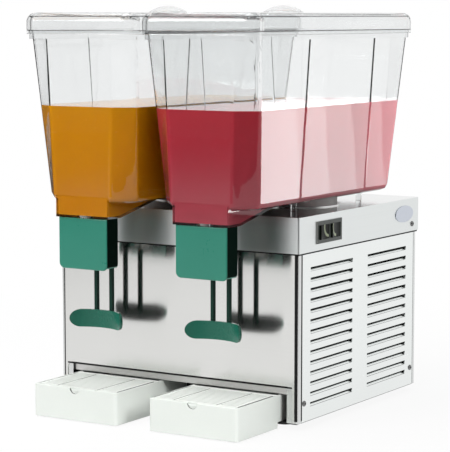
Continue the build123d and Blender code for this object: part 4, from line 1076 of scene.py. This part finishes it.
def makeGridSeams(side):
    plan = seamPlan
    low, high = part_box(side + "_drip_grid")
    middle = (low + high) / 2
    front, back = low.y + plan["end"], high.y - plan["end"]
    bottom, top = high.z - plan["deep"], high.z + plan["proud"]
    half = plan["wide"] / 2
    rims = (low.x + plan["rim"], high.x - plan["rim"])
    bm = bmesh.new()
    for x in (rims[0], middle.x - plan["out"], middle.x + plan["out"], rims[1]):
        addBar(bm, (x - half, front, bottom), (x + half, back, top))
    makePiece(side + "GridSeams", bm, side + "_grid", finishes["seamGrey"])


for side in sides:
    makeGridSeams(side)
print("grid seams made")


# studio: floor, world, lamps and camera
def ray(look, name):
    return look.node("ShaderNodeLightPath", out=name)


def notScattered(look):
    return spread(look, ray(look, "Diffuse Depth"), 0.0, 1.0, 1.0, 0.0)


floorPlan = {
    "outline": [(-2.4, -3.2), (-0.1, -3.2), (0.3, -0.9), (5.0, -0.9), (5.0, 7.0), (-2.4, 7.0)],
    "tint": (0.88, 0.88, 0.88),
    "rough": 0.8,
    "white": (0.35, 1.1),  # it goes over into the white background between these distances
    "near": 0.92,  # and is this white before them
    "ahead": (-3.2, -1.9),  # gloss sees it fade out ahead, between these
    "left": (-1.75, -1.1),  # and to the left
    "leftDim": 0.1,
}


def floorLook():
    plan = floorPlan
    look = Look("studioFloor")
    spot = look.node("ShaderNodeTexCoord", out="Object")
    away = look.node("ShaderNodeVectorMath", {"operation": "LENGTH"}, {0: spot}, "Value")
    isGloss = ray(look, "Is Glossy Ray")
    seen = ray(look, "Is Camera Ray") | isGloss | ray(look, "Is Transmission Ray")
    white = spread(look, away, *plan["white"], plan["near"], 1.0) * (seen * notScattered(look))
    fade = spread(look, along(look, "Y"), *plan["ahead"], 0.0, 1.0)
    fade = fade * spread(look, along(look, "X"), *plan["left"], plan["leftDim"], 1.0)
    paper = blend(look, (1 - isGloss) | fade, colour(0, 0, 0), colour(1, 1, 1))
    glow = look.node("ShaderNodeEmission", values={"Color": paper, "Strength": 1.0})
    sheet = Wire(look, look.shader.outputs[0])
    values = {"Base Color": colour(*plan["tint"]), "Roughness": plan["rough"]}
    mixed = look.node("ShaderNodeMixShader", values={0: white, 1: sheet, 2: glow})
    return look.finish(values, mixed)


def makeFloor():
    bm = bmesh.new()
    bm.faces.new([bm.verts.new((x, y, 0)) for x, y in floorPlan["outline"]])
    bm.normal_update()
    mesh = bpy.data.meshes.new("studioFloor")
    bm.to_mesh(mesh)
    bm.free()
    mesh.materials.append(floorLook())
    floor = bpy.data.objects.new("studioFloor", mesh)
    scene.collection.objects.link(floor)


worldPlan = {
    "fill": (0.7, 0.1),  # from the left, from the right
    "juice": (1.2, 0.03),  # the same, through the bowls' walls
    "fillTurn": (-0.6, 0.5),  # and the headings between which it changes
    "front": (0.1, 0.03),  # what gloss sees of the room in front, on its left and on its right
    "frontTurn": (-0.45, -0.05),
    "rear": (-0.25, 0.35),  # the room goes over into the white background between these
    "above": (0.08, 0.35),  # it brightens between these slopes
    "aboveGlow": 0.7,
    "flag": (-0.93, -0.75),  # a dark screen on the left, which draws the clear plastic's edges
    "flagFoot": (-0.085, -0.065),  # the slopes between which it ends below
    "glossFlag": (-0.7, -0.56),  # another for gloss, below the horizon
    "glossFlagTop": (-0.06, -0.02),
    "glossFlagDeep": 0.9,
}


def makeWorld():
    plan = worldPlan
    look = Look("studioWorld", "worlds", "Background")
    across, ahead, above = [along(look, axis, "Generated") for axis in "XYZ"]
    gloss = spread(look, across, *plan["frontTurn"], *plan["front"])
    gloss = gloss | spread(look, ahead, *plan["rear"], 0.0, 1.0)
    gloss = gloss | spread(look, above, *plan["above"], 0.0, plan["aboveGlow"])
    screen = spread(look, across, *plan["glossFlag"], plan["glossFlagDeep"], 0.0)
    screen = screen * spread(look, above, *plan["glossFlagTop"], 1.0, 0.0)
    gloss = gloss * (1 - screen)
    below = spread(look, above, *plan["flagFoot"], 1.0, 0.0)
    clear = below | spread(look, across, *plan["flag"], 0.0, 1.0)
    isCamera = ray(look, "Is Camera Ray")
    isGloss = ray(look, "Is Glossy Ray")
    isThrough = ray(look, "Is Transmission Ray") * notScattered(look)
    isJuice = ray(look, "Is Transmission Ray") - isThrough
    isFill = 1 - (isCamera | isGloss | isThrough | isJuice)
    juice = isJuice * spread(look, across, *plan["fillTurn"], *plan["juice"])
    fill = isFill * spread(look, across, *plan["fillTurn"], *plan["fill"])
    strength = isCamera | (isThrough * clear) | (isGloss * gloss) | juice | fill
    scene.world = look.finish({"Color": colour(1, 1, 1), "Strength": strength})


lamps = {
    "panelCard": {
        "place": (-1.6, -2.75, 0.45), "aim": (0.0, -0.12, 0.2), "size": (2.4, 1.3), "power": 9,
        "only": ["frontPanel", "deckPan"],
    },
    "juiceBack": {
        "place": (0.42, 0.5, 0.87), "aim": (0.18, 0.12, 0.36), "size": (0.5, 0.5), "power": 5.6,
        "only": ["rightBowl", "rightJuice"],
    },
    "juiceSide": {
        "place": (1.3, -1.2, 1.2), "aim": (-0.05, -0.1, 0.36), "size": (0.9, 0.9), "power": 12,
        "only": ["leftBowl", "leftJuice"],
    },
    "trayLight": {
        "place": (1.5, -0.7, 0.9), "aim": (0.1, -0.17, 0.03), "size": (0.6, 0.6), "power": 24,
        "only": ["leftDripTray", "rightDripTray", "leftDripGrid", "rightDripGrid"],
    },
    "topLight": {
        "place": (-0.3, -0.6, 2.4), "aim": (0, 0, 0.3), "size": (2.2, 1.8), "power": 42,
    },
    "frontLight": {
        "place": (-1.0, -2.4, 1.6), "aim": (0, -0.1, 0.25), "size": (1.4, 1.2), "power": 29.5,
    },
}
veilPlan = {  # overlapping strips behind, which whiten the gloss of the right bowl's side wall
    "middle": (1.0507, 1.238, 0.12),
    "across": (0.866, -0.5, 0.0),
    "end": 0.21,
    "tall": 0.24,
    "roll": 0.2,
    "apart": 0.012,
    "layers": [  # where each strip starts, and its glow
        (-0.37, 5.2), (-0.31, 4.1), (-0.25, 4.1), (-0.19, 4.1), (-0.13, 4.1),
    ],
}


def addVeil():
    plan = veilPlan
    across = Vector(plan["across"])
    facing = Vector((across.y, -across.x, 0))
    for index, (start, glow) in enumerate(plan["layers"]):
        wide = plan["end"] - start
        place = Vector(plan["middle"]) + across * (start + wide / 2)
        place += facing * index * plan["apart"]
        lamps["veilStrip" + str(index + 1)] = {
            "place": place, "aim": place + facing, "size": (wide, plan["tall"]),
            "roll": plan["roll"], "power": glow * wide * plan["tall"],
            "only": ["leftBowl", "rightBowl"],
        }


def aimAt(thing, place, aim, roll=0.0):
    thing.location = place
    thing.rotation_mode = "QUATERNION"
    turn = (Vector(aim) - Vector(place)).to_track_quat("-Z", "Y")
    thing.rotation_quaternion = turn @ Quaternion((0, 0, 1), roll)
    scene.collection.objects.link(thing)


def makeLamp(name, lamp):
    data = bpy.data.lights.new(name, "AREA")
    data.shape = "RECTANGLE"
    data.size, data.size_y = lamp["size"]
    data.energy = lamp["power"]
    light = bpy.data.objects.new(name, data)
    light.visible_camera = False
    if "only" in lamp:  # lights just these pieces
        lit = bpy.data.collections.new(name + "Lit")
        for piece in lamp["only"]:
            lit.objects.link(bpy.data.objects[piece])
        light.light_linking.receiver_collection = lit
    aimAt(light, lamp["place"], lamp["aim"], lamp.get("roll", 0.0))


cameraPlan = {
    "place": (1.4349, -2.2939, 0.5481),
    "aim": (0.0805, -0.124, 0.2676),
    "lens": 153.03,
    "sensor": 36,
}


def makeCamera():
    data = bpy.data.cameras.new("photoCamera")
    data.lens = cameraPlan["lens"]
    data.sensor_width = cameraPlan["sensor"]
    camera = bpy.data.objects.new("photoCamera", data)
    aimAt(camera, cameraPlan["place"], cameraPlan["aim"])
    scene.camera = camera


makeFloor()
makeWorld()
addVeil()
for name, lamp in lamps.items():
    makeLamp(name, lamp)
makeCamera()
scene.view_settings.view_transform = "Standard"
print("studio set")
